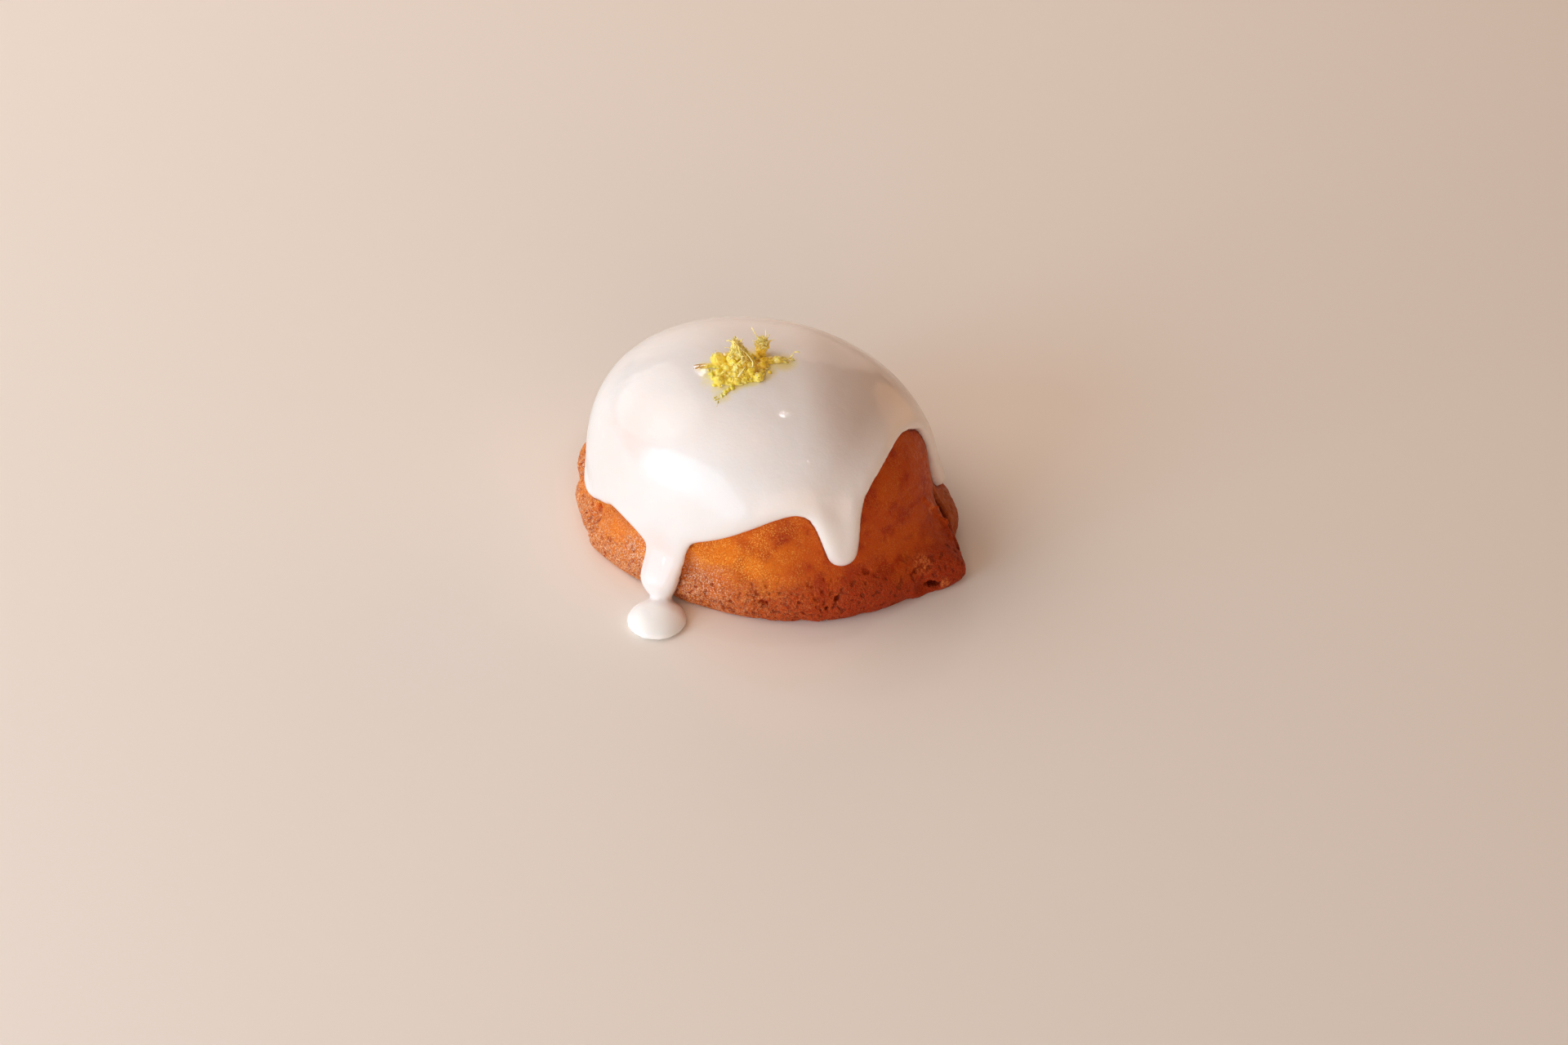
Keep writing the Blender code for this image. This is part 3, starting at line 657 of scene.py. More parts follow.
class Shreds:
    """Collects ribbons and turns them into one mesh."""

    def __init__(self):
        self.points, self.faces, self.pale = [], [], []

    def add(self, start, heading, pitch, length, width, turning=0.0, nodding=0.0, pale=0.3,
            steps=SHRED_STEPS, sides=SHRED_SIDES):
        """A ribbon from start on; turning and nodding are how its heading and pitch change."""
        place = Vector(start)
        stride = length / steps
        twist = rng.uniform(0, math.pi)
        untwist = rng.uniform(-1.2, 1.2)
        first = len(self.points)
        for i in range(steps + 1):
            share = i / steps
            way = Vector((math.cos(heading) * math.cos(pitch), math.sin(heading) * math.cos(pitch),
                          math.sin(pitch)))
            side = way.orthogonal().normalized()
            side.rotate(Matrix.Rotation(twist + untwist * share, 3, way))
            over = way.cross(side)
            swell = (1.0 - abs(2 * share - 1.0) ** 5) * 0.45 + 0.55
            frayed = 1.0 + 0.4 * noise.noise(place / (0.4 * MM))
            for k in range(sides):
                angle = 2 * math.pi * k / sides
                self.points.append(place + side * (math.cos(angle) * width / 2 * swell * frayed)
                                   + over * (math.sin(angle) * SHRED_THICKNESS / 2 * swell))
                self.pale.append(pale * (0.3 + 0.7 * share * share))
            place = place + way * stride
            heading += turning / steps
            pitch += nodding / steps
        for i in range(steps):
            low, high = first + i * sides, first + (i + 1) * sides
            for k in range(sides):
                after = (k + 1) % sides
                self.faces.append((low + k, low + after, high + after, high + k))
        last = first + steps * sides
        self.faces.append(tuple(first + k for k in reversed(range(sides))))
        self.faces.append(tuple(last + k for k in range(sides)))

    def between(self, start, end, width, turning, nodding, pale):
        """A longer ribbon, with more steps, that curves from one place to another."""
        start, end = Vector(start) * MM, Vector(end) * MM
        length, heading, pitch = way_between(start, end)
        self.add(start, heading - turning / 2, pitch - nodding / 2,
                 length * (1 + turning ** 2 / 24), width * MM, turning, nodding, pale,
                 steps=14, sides=6)

    def made(self, name):
        """The piece, with the ribbons' paleness as an attribute."""
        mesh = bpy.data.meshes.new(name)
        mesh.from_pydata(self.points, [], self.faces)
        piece = bpy.data.objects.new(name, mesh)
        bpy.context.scene.collection.objects.link(piece)
        remember(piece, "pale", self.pale)
        only(piece)
        bpy.ops.object.mode_set(mode="EDIT")
        bpy.ops.mesh.select_all(action="SELECT")
        bpy.ops.mesh.normals_make_consistent(inside=False)
        bpy.ops.object.mode_set(mode="OBJECT")
        bpy.ops.object.shade_smooth()
        return piece


shreds = Shreds()
print("a small shred has", SHRED_STEPS * SHRED_SIDES + 2, "faces")

# %% [markdown]
# ### Growing the fluff
#
# The shreds start on points of the pulp, picked at random. On the patch they lie down along the
# skin. On the tufts they lean out and up, so that the outline is fluffy.

# %% Grow shreds on the pulp
TUFT_START = 1.7 * MM
BACK_TUFT_FROM = 1.0 * MM
ROOTED = 0.12 * MM
LYING = 60
FRONT_FLUFF = 64
BACK_FLUFF = 70

tuft_points, patch_points = [], []
for vertex in pulp.data.vertices:
    if vertex.normal.z < -0.2:
        continue
    standing = vertex.co.z > icing_height(vertex.co.x, vertex.co.y) + TUFT_START
    (tuft_points if standing else patch_points).append(vertex)
behind = [vertex for vertex in tuft_points if vertex.co.y > BACK_TUFT_FROM]
in_front = [vertex for vertex in tuft_points if vertex.co.y <= BACK_TUFT_FROM]


def grow(vertices, count, lean, lengths, widths, curl, pales):
    """Shreds on randomly picked points; lean gives their way from the skin's normal."""
    for vertex in rng.sample(vertices, count):
        way = lean(vertex.normal).normalized()
        shreds.add(vertex.co - way * ROOTED, math.atan2(way.y, way.x), math.asin(way.z),
                   rng.uniform(*lengths) * MM, rng.uniform(*widths) * MM,
                   rng.uniform(-curl, curl), rng.uniform(-curl, 0.5 * curl), rng.uniform(*pales))


def anywhere():
    """A vector in a random direction."""
    return Vector((rng.uniform(-1, 1), rng.uniform(-1, 1), rng.uniform(-1, 1)))


def lying_down(normal):
    """A way along the skin, lifted a little."""
    way = anywhere()
    return way - normal * way.dot(normal) + normal * 0.12


def leaning_up(normal):
    """A way along the skin that tends upwards."""
    way = anywhere() * 0.9 + Vector((0, 0, 0.8))
    return way - normal * way.dot(normal) + normal * 0.06


grow(patch_points, LYING, lying_down, (0.5, 1.3), (0.16, 0.36), 2.4, (0.0, 0.40))
# On the tufts the shreds are paler: dried tips, and painted light for the light that shines through
# them.
grow(in_front, FRONT_FLUFF, leaning_up, (0.6, 1.5), (0.20, 0.40), 1.4, (0.3, 1.0))
grow(behind, BACK_FLUFF, leaning_up, (0.6, 1.3), (0.20, 0.40), 2.0, (0.3, 1.0))
print(LYING + FRONT_FLUFF + BACK_FLUFF, "shreds grown;", len(tuft_points), "points on the tufts")

# %% [markdown]
# ### The shreds that catch the eye
#
# A few long pale shreds give this heap its look: one across the front tuft, a forked one below
# it, horns on the back tuft, and a fine curl at the end of the arm. They are laid one by one.

# %% Lay the long shreds
LONG_SHREDS = (  # start, end, width in mm, turning, nodding and paleness
    ((-4.6, -1.5, 40.9), (-2.1, -2.1, 39.6), 0.40, 0.2, -0.2, 1.0),
    ((-2.2, -2.1, 39.7), (0.1, -2.9, 38.2), 0.46, -0.3, -0.3, 1.0),
    ((-0.1, -2.8, 38.4), (0.2, -3.5, 37.8), 0.36, -0.6, -0.4, 1.0),
    ((-1.1, -3.3, 38.7), (-1.5, -4.2, 38.5), 0.34, 0.3, -0.2, 1.0),
    ((-1.4, -4.1, 38.6), (-0.7, -4.7, 38.2), 0.34, 0.2, -0.2, 1.0),
    ((-0.7, -4.6, 38.2), (-1.1, -6.7, 37.4), 0.40, -0.2, -0.3, 1.0),
    ((-4.2, -4.0, 38.3), (-3.6, -3.6, 39.3), 0.30, 0.2, 0.3, 1.0),
    ((-2.5, -4.7, 38.5), (-1.9, -5.2, 38.0), 0.34, 0.2, -0.2, 1.0),
    ((-3.6, -2.7, 37.9), (-4.5, -1.6, 40.9), 0.34, 0.2, 0.2, 0.6),
    ((-2.3, -2.6, 38.2), (-3.8, -1.4, 40.8), 0.36, -0.2, 0.2, 0.5),
    ((-1.2, -2.6, 37.6), (-3.3, -0.8, 40.6), 0.36, -0.2, 0.3, 0.3),
    ((-4.5, -1.0, 40.2), (-4.9, -1.2, 41.1), 0.26, 1.0, -0.8, 1.0),
    ((-4.2, -0.9, 40.3), (-4.1, -0.6, 41.2), 0.26, -1.2, -0.6, 1.0),
    ((-3.6, -0.7, 40.2), (-3.0, -0.5, 41.0), 0.26, 1.4, -1.0, 0.9),
    ((-2.0, 2.9, 39.3), (-3.4, 3.3, 40.9), 0.40, -0.9, -0.9, 1.0),
    ((-0.5, 3.2, 39.5), (-0.7, 3.9, 40.9), 0.34, 0.9, -0.7, 1.0),
    ((-0.2, 3.3, 39.4), (0.2, 3.7, 40.2), 0.40, 1.2, -1.0, 0.9),
    ((0.0, 3.4, 38.6), (0.9, 4.2, 38.9), 0.34, -0.8, -0.8, 0.8),
    ((1.4, 0.6, 36.9), (4.6, 3.1, 36.7), 0.42, 0.3, -0.1, 0.25),
    ((-7.4, -4.4, 36.7), (-10.4, -5.9, 36.4), 0.24, 0.15, -0.1, 0.0),
    ((4.4, 3.0, 36.4), (4.9, 4.0, 37.55), 0.26, 0.0, -0.4, 0.9),
    ((4.9, 3.97, 37.5), (5.9, 4.45, 37.2), 0.26, -0.3, -1.5, 1.0),
)
for start, end, width, turning, nodding, pale in LONG_SHREDS:
    shreds.between(start, end, width, turning, nodding, pale)
peel = shreds.made("zest_shreds")
print("shreds:", len(peel.data.polygons), "faces")

# %% [markdown]
# ### Beads of juice
#
# Juice stands on the pulp in tiny round beads, which mirror the small lights as sparkles. They
# are flattened balls, half sunk in, and joined in one piece.

# %% Scatter the beads
BEADS = 26
PLACED_BEADS = (  # x, y, height over what lies there, and radius in mm
    (-7.6, -2.6, 0.0, 0.18), (-5.9, -2.3, 0.3, 0.30), (-6.0, -5.9, 0.0, 0.16),
    (-2.6, -6.1, 0.0, 0.18), (-3.4, -8.4, 0.0, 0.20), (-2.7, -9.3, 0.0, 0.16),
    (1.6, -4.6, 0.0, 0.18), (2.6, -3.6, 0.0, 0.18), (2.4, 0.6, 0.0, 0.16),
    (-7.2, -5.4, 0.0, 0.14),
)

pulp_skin = skin_of(pulp)


def heap_height(x, y):
    """The height of whatever lies on top here, pulp or icing."""
    return max(icing_height(x, y), top_of(pulp_skin, x, y))


beads = []
for bead in PLACED_BEADS:
    x, y, rise, radius = (value * MM for value in bead)
    beads.append(lump(x, y, heap_height(x, y) + rise, radius, flat=0.9))
for i in range(BEADS):
    x, y = in_heap(rng.uniform(0.30, 0.92), i * GOLDEN_TURN + 2.0)
    radius = rng.uniform(0.07, 0.13) * MM
    beads.append(lump(x, y, heap_height(x, y) + 0.25 * radius, radius, flat=0.85))
syrup = joined(beads, "zest_juice")
bpy.ops.object.shade_smooth()
print("beads:", BEADS + len(PLACED_BEADS))

# %% [markdown]
# ## Finishes
#
# The colours come from nodes that read the place on the piece, in object coordinates, so the
# same spot keeps its colour in every view. A noise texture's scale counts features in a metre:
# a grain of half a millimetre needs a scale of about two thousand. Small functions add the
# nodes, so that a finish reads like a recipe. A spot is a middle in mm with its reach and its
# core: its colour is full in the core and fades out to the reach.

# %% Tools for materials
def new_finish(name, **values):
    """A material with these values on its Principled shader."""
    material = bpy.data.materials.new(name)
    material.use_nodes = True
    for key, value in values.items():
        finish(material, key.replace("_", " "), value)
    return material


def finish(material, name, value):
    """Sets an input of the shader to a value, or links another node's output to it."""
    join(material, value, material.node_tree.nodes["Principled BSDF"].inputs[name])


def add(material, kind, inputs=(), **settings):
    """A node with these settings; an input is a value or another node's output."""
    node = material.node_tree.nodes.new(kind)
    for key, value in settings.items():
        setattr(node, key, value)
    for key, value in dict(inputs).items():
        join(material, value, node.inputs[key])
    return node


def join(material, value, socket):
    if isinstance(value, bpy.types.NodeSocket):
        material.node_tree.links.new(value, socket)
    else:
        socket.default_value = value


def count_nodes(material):
    print(material.name, "has", len(material.node_tree.nodes), "nodes")


def place_on_piece(material):
    return add(material, "ShaderNodeTexCoord").outputs["Object"]


def axes_of(material, place):
    """The place's x, y and z."""
    split = add(material, "ShaderNodeSeparateXYZ", {"Vector": place})
    return [split.outputs[axis] for axis in "XYZ"]


def kept(material, name):
    """A number that remember kept on the piece."""
    return add(material, "ShaderNodeAttribute", attribute_name=name).outputs["Fac"]


print("finishes start")

# %% Patterns
def grain(material, place, size, detail=2.0, roughness=0.5, warp=0.0):
    """Noise between 0 and 1 with features of this size."""
    node = add(material, "ShaderNodeTexNoise", {
        "Vector": place, "Scale": 1.0 / size, "Detail": detail, "Roughness": roughness,
        "Distortion": warp})
    return node.outputs["Fac"]


def ramp(material, value, low, high, start=0.0, end=1.0):
    """Maps low..high to start..end and holds it there."""
    node = add(material, "ShaderNodeMapRange", {
        "Value": value, "From Min": low, "From Max": high, "To Min": start, "To Max": end},
        interpolation_type="SMOOTHSTEP")
    return node.outputs["Result"]


def specks(material, place, size, radius):
    """1 in the middle of small round dots and 0 between them; the radius is a share of the size."""
    node = add(material, "ShaderNodeTexVoronoi", {"Vector": place, "Scale": 1.0 / size})
    return ramp(material, node.outputs["Distance"], radius, 0.3 * radius)


def combining(operation):
    """A function that adds a math node for two values."""
    def combine(material, first, second):
        node = add(material, "ShaderNodeMath", {0: first, 1: second}, operation=operation)
        return node.outputs[0]
    return combine


times, plus, either = combining("MULTIPLY"), combining("ADD"), combining("MAXIMUM")


def near_to(material, place, *spots):
    """1 in the core of the nearest spot, and 0 from its reach on."""
    share = None
    for middle, reach, core in spots:
        node = add(material, "ShaderNodeVectorMath", {0: place, 1: Vector(middle) * MM},
                   operation="DISTANCE")
        here = ramp(material, node.outputs["Value"], reach * MM, core * MM)
        share = here if share is None else either(material, share, here)
    return share


def blend_colours(material, share, first, second):
    """The first colour at share 0 and the second at 1."""
    node = add(material, "ShaderNodeMix", data_type="RGBA")
    join(material, share, node.inputs[0])
    join(material, first, node.inputs[6])
    join(material, second, node.inputs[7])
    return node.outputs[2]


def relief(material, height, depth, below=None):
    """A bump of this depth, added to the bump below it."""
    node = add(material, "ShaderNodeBump", {"Height": height, "Distance": depth, "Strength": 1.0})
    if below:
        join(material, below, node.inputs["Normal"])
    return node.outputs["Normal"]


print("patterns ready")

# %% [markdown]
# ### Baked crust
#
# The dome is golden orange, browner where the mould was hotter, with fine golden grains all over
# it. On the rim the crumb's tips are painted lighter, tan, and its hollows darker, red-brown:
# painted highlight and painted shade. The rim is lightest on the left and darkest towards the
# right tip, where it baked longest; the pale crumb tips on the left are painted highlight from the
# window on that side. Beside the long drip it is wet with syrup, and pale glints are painted
# there and along the left rim, as painted highlight.

# %% Colours of the crust
GOLDEN = (0.80, 0.195, 0.006, 1)
ORANGE = (0.63, 0.098, 0.002, 1)
DEEP_ORANGE = (0.52, 0.066, 0.002, 1)
TOASTED = (0.36, 0.028, 0.001, 1)
GRAIN_RUST = (0.42, 0.045, 0.002, 1)
SPECK_GOLD = (0.98, 0.52, 0.10, 1)
RIM_ORANGE = (0.70, 0.175, 0.015, 1)
RIM_RUST = (0.46, 0.045, 0.003, 1)
RIM_DARK = (0.38, 0.030, 0.002, 1)
# Painted highlight on the crumb's tips and painted shade in its hollows.
TIP_PAINTED_HIGHLIGHT = (1.0, 0.74, 0.48, 1)
TIP_TAN = (0.95, 0.48, 0.16, 1)
CREVICE_SHADE_RED = (0.46, 0.060, 0.004, 1)
CREVICE_SHADE_DARK = (0.23, 0.019, 0.002, 1)
# Syrup-darkened crust and painted contact shadow along the icing's edge.
HEM_DAMP_AND_SHADOW = (0.12, 0.010, 0.002, 1)
TORN_ORANGE = (0.66, 0.060, 0.001, 1)
FRESH_CRUMB = (0.78, 0.24, 0.06, 1)
# Painted highlight: pale glints on the wet crust and on the left rim.
GLINT_PAINTED_PALE = (0.95, 0.66, 0.52, 1)
FLANGE_BROWN = (0.44, 0.110, 0.024, 1)

TOASTED_SPOT = ((15.3, -21.7, 18.1), 3.6, 0.4)
GOLDEN_SPOT = ((4.5, -25.1, 10.7), 9.0, 1.0)
HOLE_SPOT = ((-25.1, -18.4, 7.0), 1.7, 0.6)
WET_AND_GLINT_SPOTS = (((-2.0, -27.0, 6.8), 6.0, 1.5), ((-12.8, -25.2, 6.7), 4.5, 1.0),
             ((3.5, -27.0, 6.4), 4.5, 1.0))
FRESH_SPOTS = (((39.0, -4.4, 1.6), 1.6, 0.7), ((34.8, -5.6, 6.0), 2.6, 0.6),
               ((32.4, 3.6, 11.6), 1.8, 0.8))
print("wet spots:", len(WET_AND_GLINT_SPOTS), "- fresh spots:", len(FRESH_SPOTS))

# %% Patterns of the crust
crust_finish = new_finish("baked_crust", Specular_IOR_Level=0.18, Subsurface_Weight=0.08,
                          Subsurface_Radius=(1.0, 0.30, 0.08), Subsurface_Scale=0.8 * MM)
m = crust_finish
place = place_on_piece(m)
along, across, height = axes_of(m, place)
wander = ramp(m, grain(m, place, 5.0 * MM, detail=4.0, roughness=0.6), 0.2, 0.8,
              -3.2 * MM, 3.2 * MM)
rim = ramp(m, plus(m, height, wander), 10.5 * MM, 4.0 * MM)
fine = grain(m, place, 0.30 * MM, detail=2.0, roughness=0.6)
golden_grain = ramp(m, grain(m, place, 0.25 * MM, detail=1.0), 0.50, 0.68)
dots = either(m, times(m, golden_grain, 0.8), times(m, specks(m, place, 0.48 * MM, 0.34), fine))
rim_grain = ramp(m, grain(m, place, 0.28 * MM, detail=2.0, roughness=0.6), 0.52, 0.66)
rim_dots = either(m, times(m, rim_grain, 0.8), times(m, specks(m, place, 0.40 * MM, 0.42), fine))
coarse = plus(m, times(m, kept(m, "crumb"), 0.55), times(m, fine, 0.45))
count_nodes(m)

# %% Colour the dome
mottled = ramp(m, grain(m, place, 4.5 * MM, detail=4.0, roughness=0.6), 0.46, 0.72)
toast = plus(m, times(m, mottled, ramp(m, along, 2.0 * MM, 22.0 * MM, 0.35, 1.0)),
             ramp(m, along, 6.0 * MM, 26.0 * MM, 0.0, 0.42))
toast = plus(m, toast, times(m, near_to(m, place, TOASTED_SPOT), 0.55))
body = blend_colours(m, ramp(m, grain(m, place, 9.0 * MM, detail=2.0), 0.38, 0.62), GOLDEN, ORANGE)
body = blend_colours(m, times(m, near_to(m, place, GOLDEN_SPOT), 0.8), body, GOLDEN)
body = blend_colours(m, ramp(m, along, 9.0 * MM, 20.0 * MM, 0.0, 0.65), body, DEEP_ORANGE)
body = blend_colours(m, toast, body, TOASTED)
body = blend_colours(m, ramp(m, fine, 0.50, 0.32, 0.0, 0.45), body, GRAIN_RUST)
clusters = ramp(m, grain(m, place, 2.6 * MM, detail=2.0), 0.35, 0.60, 0.25, 0.85)
fewer = ramp(m, along, 8.0 * MM, 22.0 * MM, 1.0, 0.22)
body = blend_colours(m, times(m, times(m, dots, clusters), fewer), body, SPECK_GOLD)
count_nodes(m)

# %% Colour the rim
darker = ramp(m, along, -14.0 * MM, 26.0 * MM)
edge = blend_colours(m, darker, RIM_ORANGE, RIM_RUST)
edge = blend_colours(m, ramp(m, along, 16.0 * MM, 36.0 * MM, 0.0, 0.8), edge, RIM_DARK)
# Painted shade: the hollows of the crumb are darker.
crevices = blend_colours(m, darker, CREVICE_SHADE_RED, CREVICE_SHADE_DARK)
edge = blend_colours(m, ramp(m, coarse, 0.48, 0.34, 0.0, 0.85), edge, crevices)
# Painted highlight: the crumb's tips are lighter, most of all on the left, where the window light
# falls.
tips = times(m, either(m, ramp(m, coarse, 0.56, 0.70), rim_dots),
             ramp(m, along, -8.0 * MM, 30.0 * MM, 0.85, 0.16))
edge = blend_colours(m, tips, edge, blend_colours(m, darker, TIP_PAINTED_HIGHLIGHT, TIP_TAN))
colour = blend_colours(m, rim, body, edge)
count_nodes(m)

# %% Colour the torn, wet and damp places, with painted glints and painted shade
flange = times(m, ramp(m, across, 6.0 * MM, 8.5 * MM), ramp(m, along, 27.0 * MM, 31.0 * MM))
colour = blend_colours(m, times(m, flange, 0.7), colour, FLANGE_BROWN)
fresh = times(m, near_to(m, place, *FRESH_SPOTS), ramp(m, coarse, 0.44, 0.56))
colour = blend_colours(m, times(m, fresh, 0.7), colour, FRESH_CRUMB)
# Pale glints painted where the crust is wet and on the left rim: painted highlight.
wet_and_glints = near_to(m, place, *WET_AND_GLINT_SPOTS)
glint = ramp(m, grain(m, place, 0.34 * MM, detail=2.0, roughness=0.7), 0.55, 0.64)
rim_glint = times(m, times(m, rim, ramp(m, along, 22.0 * MM, -10.0 * MM)), 0.30)
glints = times(m, glint, plus(m, times(m, wet_and_glints, 0.65), rim_glint))
colour = blend_colours(m, glints, colour, GLINT_PAINTED_PALE)
# The torn places: fresh orange crumb on the left; towards the right tip the hollow and the groove
# behind the ridge are painted dark, as painted shade.
inside = blend_colours(m, ramp(m, along, -10.0 * MM, 25.0 * MM), TORN_ORANGE, CREVICE_SHADE_DARK)
hole = either(m, ramp(m, kept(m, "torn"), 0.30, 0.70), times(m, near_to(m, place, HOLE_SPOT), 0.7))
colour = blend_colours(m, times(m, hole, 0.92), colour, inside)
# The dark line along the icing's edge: crust damp with syrup, and painted contact shadow under the
# edge.
hem = ramp(m, kept(m, "near_icing"), 0.15, 0.75, 0.0, 0.75)
finish(m, "Base Color", blend_colours(m, hem, colour, HEM_DAMP_AND_SHADOW))
count_nodes(m)

# %% Gloss and grain of the crust
gloss = ramp(m, grain(m, place, 0.8 * MM, detail=3.0), 0.35, 0.65, 0.42, 0.70)
finish(m, "Roughness", plus(m, gloss, times(m, wet_and_glints, -0.22)))
smooth_part = relief(m, plus(m, fine, times(m, dots, 0.5)), 0.07 * MM)
rough_part = relief(m, times(m, plus(m, fine, rim_dots), rim), 0.10 * MM, smooth_part)
finish(m, "Normal", rough_part)
sponge.data.materials.append(crust_finish)
count_nodes(m)

# %% [markdown]
# ### Sugar icing
#
# Sugar icing is white, but light goes a millimetre or two into it and comes out warmer. Where
# the sheet is thin, on the left, the sponge shines through in a peach tone. The side away from
# the window is painted a duller rose, as painted shade, the drop and the second drip are painted
# brighter and less pink, as painted light from the pale table, and the heap has stained it with
# juice.
# Its gloss is a broad sheen under a thin clear coat. Tiny bubbles break up the mirror image of
# the small lights, so the coat has a relief too.

# %% Colour the icing
ICING_WHITE = (0.880, 0.835, 0.822, 1)
ICING_WARM = (0.885, 0.775, 0.715, 1)
ICING_PEACH = (0.880, 0.690, 0.640, 1)
ICING_PAINTED_SHADE = (0.700, 0.600, 0.550, 1)
ICING_PAINTED_LIGHT = (0.990, 0.985, 0.965, 1)
THIN_SPOT = ((-19.5, -18.0, 23.5), 14.0, 1.0)
DRIP_SPOT = ((-8.3, -28.0, 9.0), 8.0, 1.0)
PAINTED_LIGHT_SPOT = ((20.0, -24.5, 18.0), 9.0, 2.0)

icing_finish = new_finish("sugar_icing", Roughness=0.44, Coat_Weight=0.60, Coat_Roughness=0.035,
                          Subsurface_Weight=0.40, Subsurface_Radius=(1.0, 0.72, 0.60),
                          Subsurface_Scale=1.8 * MM)
m = icing_finish
place = place_on_piece(m)
along, across, _ = axes_of(m, place)
cloudy = ramp(m, grain(m, place, 12.0 * MM, detail=2.0), 0.3, 0.7, 0.0, 0.25)
colour = blend_colours(m, cloudy, ICING_WHITE, ICING_WARM)
streaks = ramp(m, grain(m, place, 9.0 * MM, detail=0.0), 0.30, 0.70, 0.45, 1.0)
colour = blend_colours(m, times(m, near_to(m, place, THIN_SPOT), streaks), colour, ICING_PEACH)
colour = blend_colours(m, times(m, near_to(m, place, DRIP_SPOT), 0.7), colour, ICING_PEACH)
# Painted shade: the upper right, away from the window, is a darker rose.
right = ramp(m, plus(m, along, times(m, across, 0.6)), 6.0 * MM, 16.0 * MM)
right = times(m, right, ramp(m, across, -16.0 * MM, -3.0 * MM, 0.45, 1.0))
right = times(m, right, ramp(m, along, 28.0 * MM, 21.0 * MM))
colour = blend_colours(m, right, colour, ICING_PAINTED_SHADE)
# Painted light: the drop on the table and the second drip are brighter and a little less pink, for
# light thrown up by the pale table.
painted_light = either(m, ramp(m, across, -31.5 * MM, -33.5 * MM),
               times(m, near_to(m, place, PAINTED_LIGHT_SPOT), 0.7))
colour = blend_colours(m, painted_light, colour, ICING_PAINTED_LIGHT)
count_nodes(m)

# %% Stain it with juice
JUICE_STAIN = (0.92, 0.78, 0.28, 1)
STAIN_SPOTS = (((3.6, 2.0, 36.5), 3.4, 1.2), ((-2.4, -10.6, 36.3), 2.6, 0.6),
               ((-9.0, -5.2, 36.2), 1.8, 0.4))

in_oval = add(m, "ShaderNodeMapping", {
    "Vector": place, "Location": (*HEAP_MIDDLE, 0.0), "Rotation": (0.0, 0.0, HEAP_TURN),
    "Scale": (*HEAP_REACH, 1.0)}, vector_type="TEXTURE")
out = add(m, "ShaderNodeVectorMath", {0: in_oval.outputs[0]}, operation="LENGTH").outputs["Value"]
ragged = ramp(m, grain(m, place, 1.6 * MM, detail=3.0), 0.3, 0.7, -0.10, 0.10)
stain = ramp(m, plus(m, out, ragged), 1.36, 0.90, 0.0, 0.80)
stain = either(m, stain, times(m, near_to(m, place, *STAIN_SPOTS), 0.75))
finish(m, "Base Color", blend_colours(m, stain, colour, JUICE_STAIN))
count_nodes(m)

# %% Sheen and coat of the icing
bubbles = relief(m, grain(m, place, 0.45 * MM, detail=1.0), 0.020 * MM)
flow = relief(m, grain(m, place, 3.5 * MM, detail=1.0), 0.10 * MM, bubbles)
finish(m, "Normal", flow)
ripples = relief(m, grain(m, place, 1.6 * MM, detail=1.0), 0.045 * MM)
broken_up = relief(m, grain(m, place, 0.36 * MM, detail=1.0), 0.013 * MM, ripples)
finish(m, "Coat Normal", broken_up)
icing.data.materials.append(icing_finish)
count_nodes(m)

# %% [markdown]
# ### Lemon peel, pulp and juice
#
# Wet pulp lets light through, so much of its colour comes from below the skin. It is bright
# yellow in the middle, amber where it is thick and wet, duller along the arm and brown at the
# tail; on the tufts it is painted paler, as painted light for the light that shines through them.
# The shreds dry to a pale yellow at their tips, which the attribute pale says; on the tufts they
# are paler still, as painted light. Beads of juice could be glass, but glass mirrors a dim room.
# Clear coat over yellow keeps them bright, and their pale colour is a painted highlight for
# sparkles too small to show.

# %% Colour the pulp
PULP_YELLOW = (1.0, 0.75, 0.085, 1)
PULP_PALE = (1.0, 0.88, 0.34, 1)
PULP_AMBER = (0.96, 0.60, 0.035, 1)
PULP_DULL = (0.92, 0.76, 0.20, 1)
PULP_BROWN = (0.52, 0.28, 0.040, 1)
AMBER_SPOT = ((1.0, -0.6, 37.2), 4.0, 0.5)
TUFT_LIGHT_SPOTS = (((-4.2, -1.1, 40.2), 2.8, 1.0), ((-1.1, 2.9, 39.6), 2.4, 0.8))
ARM_SPOT = ((3.8, 2.2, 36.8), 3.0, 1.4)
TAIL_END = (-10.2, -5.8, 36.2)

pulp_finish = new_finish("lemon_pulp", Roughness=0.30, Coat_Weight=0.6, Coat_Roughness=0.05,
                         Subsurface_Weight=0.75, Subsurface_Radius=(1.0, 0.90, 0.30),
                         Subsurface_Scale=1.0 * MM)
m = pulp_finish
place = place_on_piece(m)
amber = ramp(m, grain(m, place, 1.5 * MM, detail=3.0), 0.52, 0.72, 0.0, 0.6)
amber = either(m, amber, times(m, near_to(m, place, AMBER_SPOT), 0.8))
paler = ramp(m, grain(m, place, 2.0 * MM, detail=2.0), 0.50, 0.68, 0.0, 0.6)
colour = blend_colours(m, paler, PULP_YELLOW, PULP_PALE)
colour = blend_colours(m, amber, colour, PULP_AMBER)
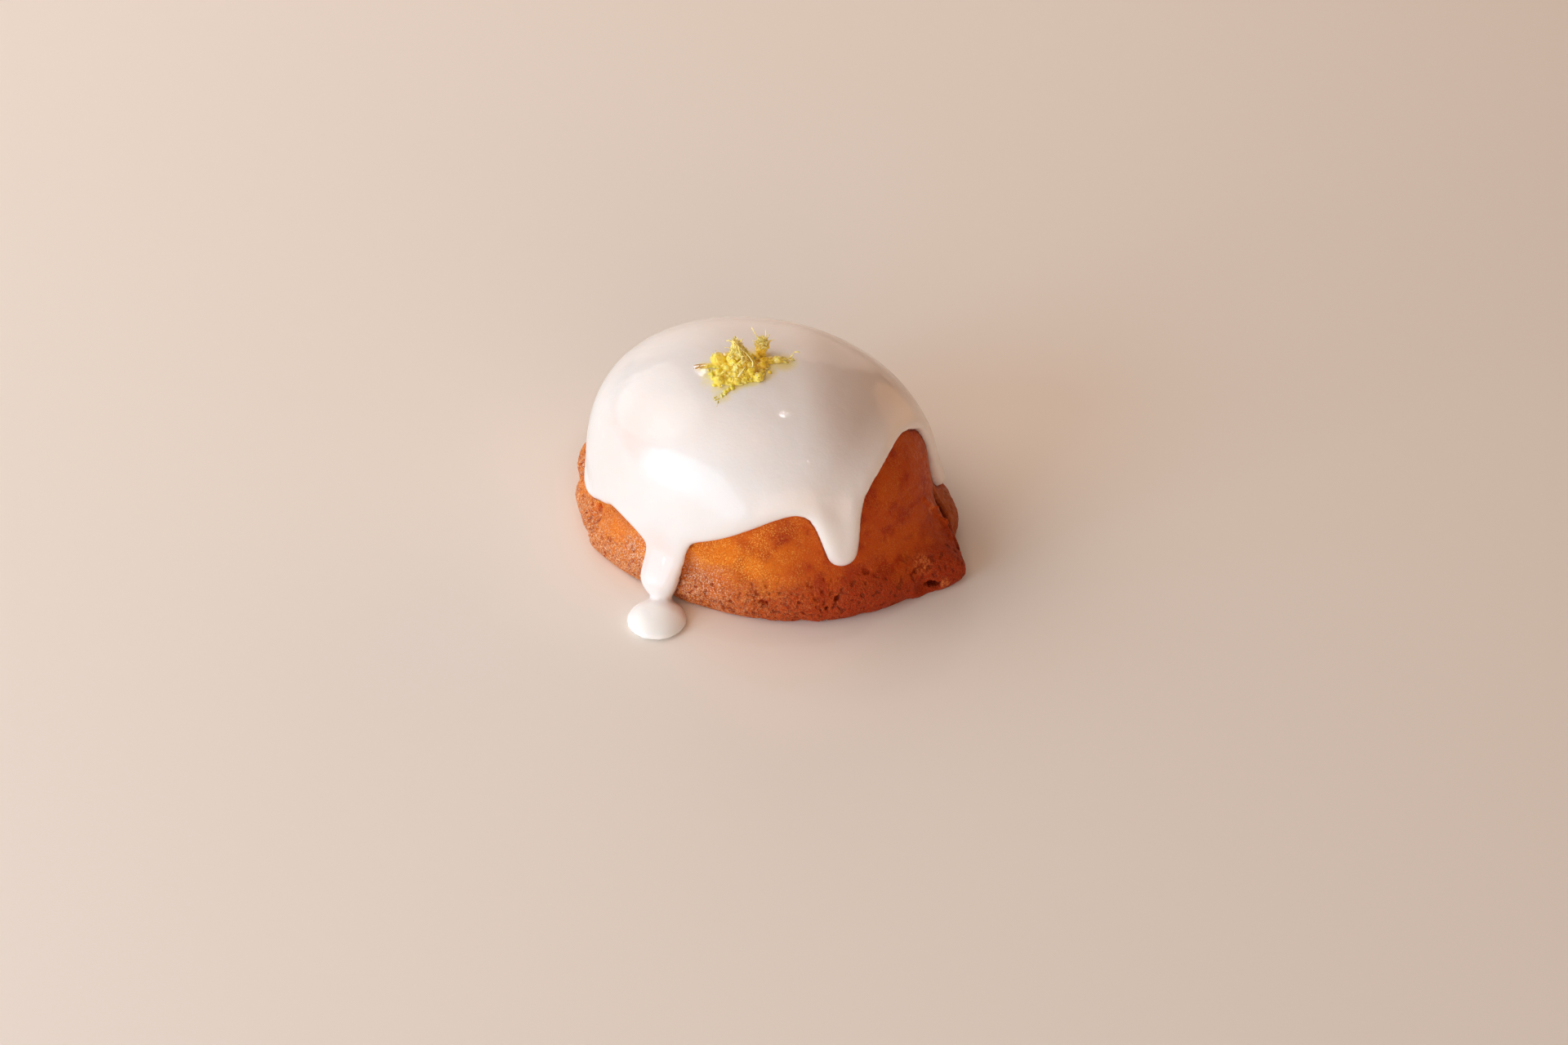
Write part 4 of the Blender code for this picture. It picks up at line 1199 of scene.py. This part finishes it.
# Painted light: the tufts are paler, for the light that shines through them.
colour = blend_colours(m, times(m, near_to(m, place, *TUFT_LIGHT_SPOTS), 0.55), colour, PULP_PALE)
colour = blend_colours(m, near_to(m, place, ARM_SPOT), colour, PULP_DULL)
colour = blend_colours(m, near_to(m, place, (TAIL_END, 2.8, 0.8)), colour, PULP_BROWN)
finish(m, "Base Color", colour)
finish(m, "Normal", relief(m, grain(m, place, 0.30 * MM, detail=2.0), 0.06 * MM))
pulp.data.materials.append(pulp_finish)
count_nodes(m)

# %% Colour the shreds and the juice
PEEL_YELLOW = (1.0, 0.80, 0.13, 1)
PEEL_PALE = (1.0, 0.95, 0.55, 1)
# Painted highlight: the beads are pale, for sparkles too small to show.
JUICE_PAINTED_GLINT = (1.0, 0.93, 0.62, 1)

peel_finish = new_finish("lemon_peel", Roughness=0.34)
m = peel_finish
place = place_on_piece(m)
colour = blend_colours(m, kept(m, "pale"), PEEL_YELLOW, PEEL_PALE)
colour = blend_colours(m, near_to(m, place, (TAIL_END, 3.2, 0.8)), colour, PULP_BROWN)
finish(m, "Base Color", colour)
finish(m, "Normal", relief(m, grain(m, place, 0.2 * MM), 0.03 * MM))
peel.data.materials.append(peel_finish)

juice_finish = new_finish("lemon_juice", Base_Color=JUICE_PAINTED_GLINT, Roughness=0.10, Coat_Weight=1.0,
                          Coat_Roughness=0.02, Subsurface_Weight=0.3,
                          Subsurface_Radius=(1.0, 0.85, 0.40), Subsurface_Scale=0.5 * MM)
m = juice_finish
finish(m, "Normal", relief(m, grain(m, place_on_piece(m), 0.3 * MM), 0.01 * MM))
syrup.data.materials.append(juice_finish)
print("finishes:", [material.name for material in bpy.data.materials])

# %% [markdown]
# ## Hand the pieces over
#
# The cake has no moving part, so every piece rides on the frame's root. Each one replaces the
# node that it was made from.

# %% Hand the pieces to the frame
for piece, node in ((sponge, "sponge"), (icing, "icing"), (pulp, "zest"), (peel, "zest"),
                    (syrup, "zest")):
    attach(piece, "root")
    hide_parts(node)
    print(piece.name, "replaces", node)
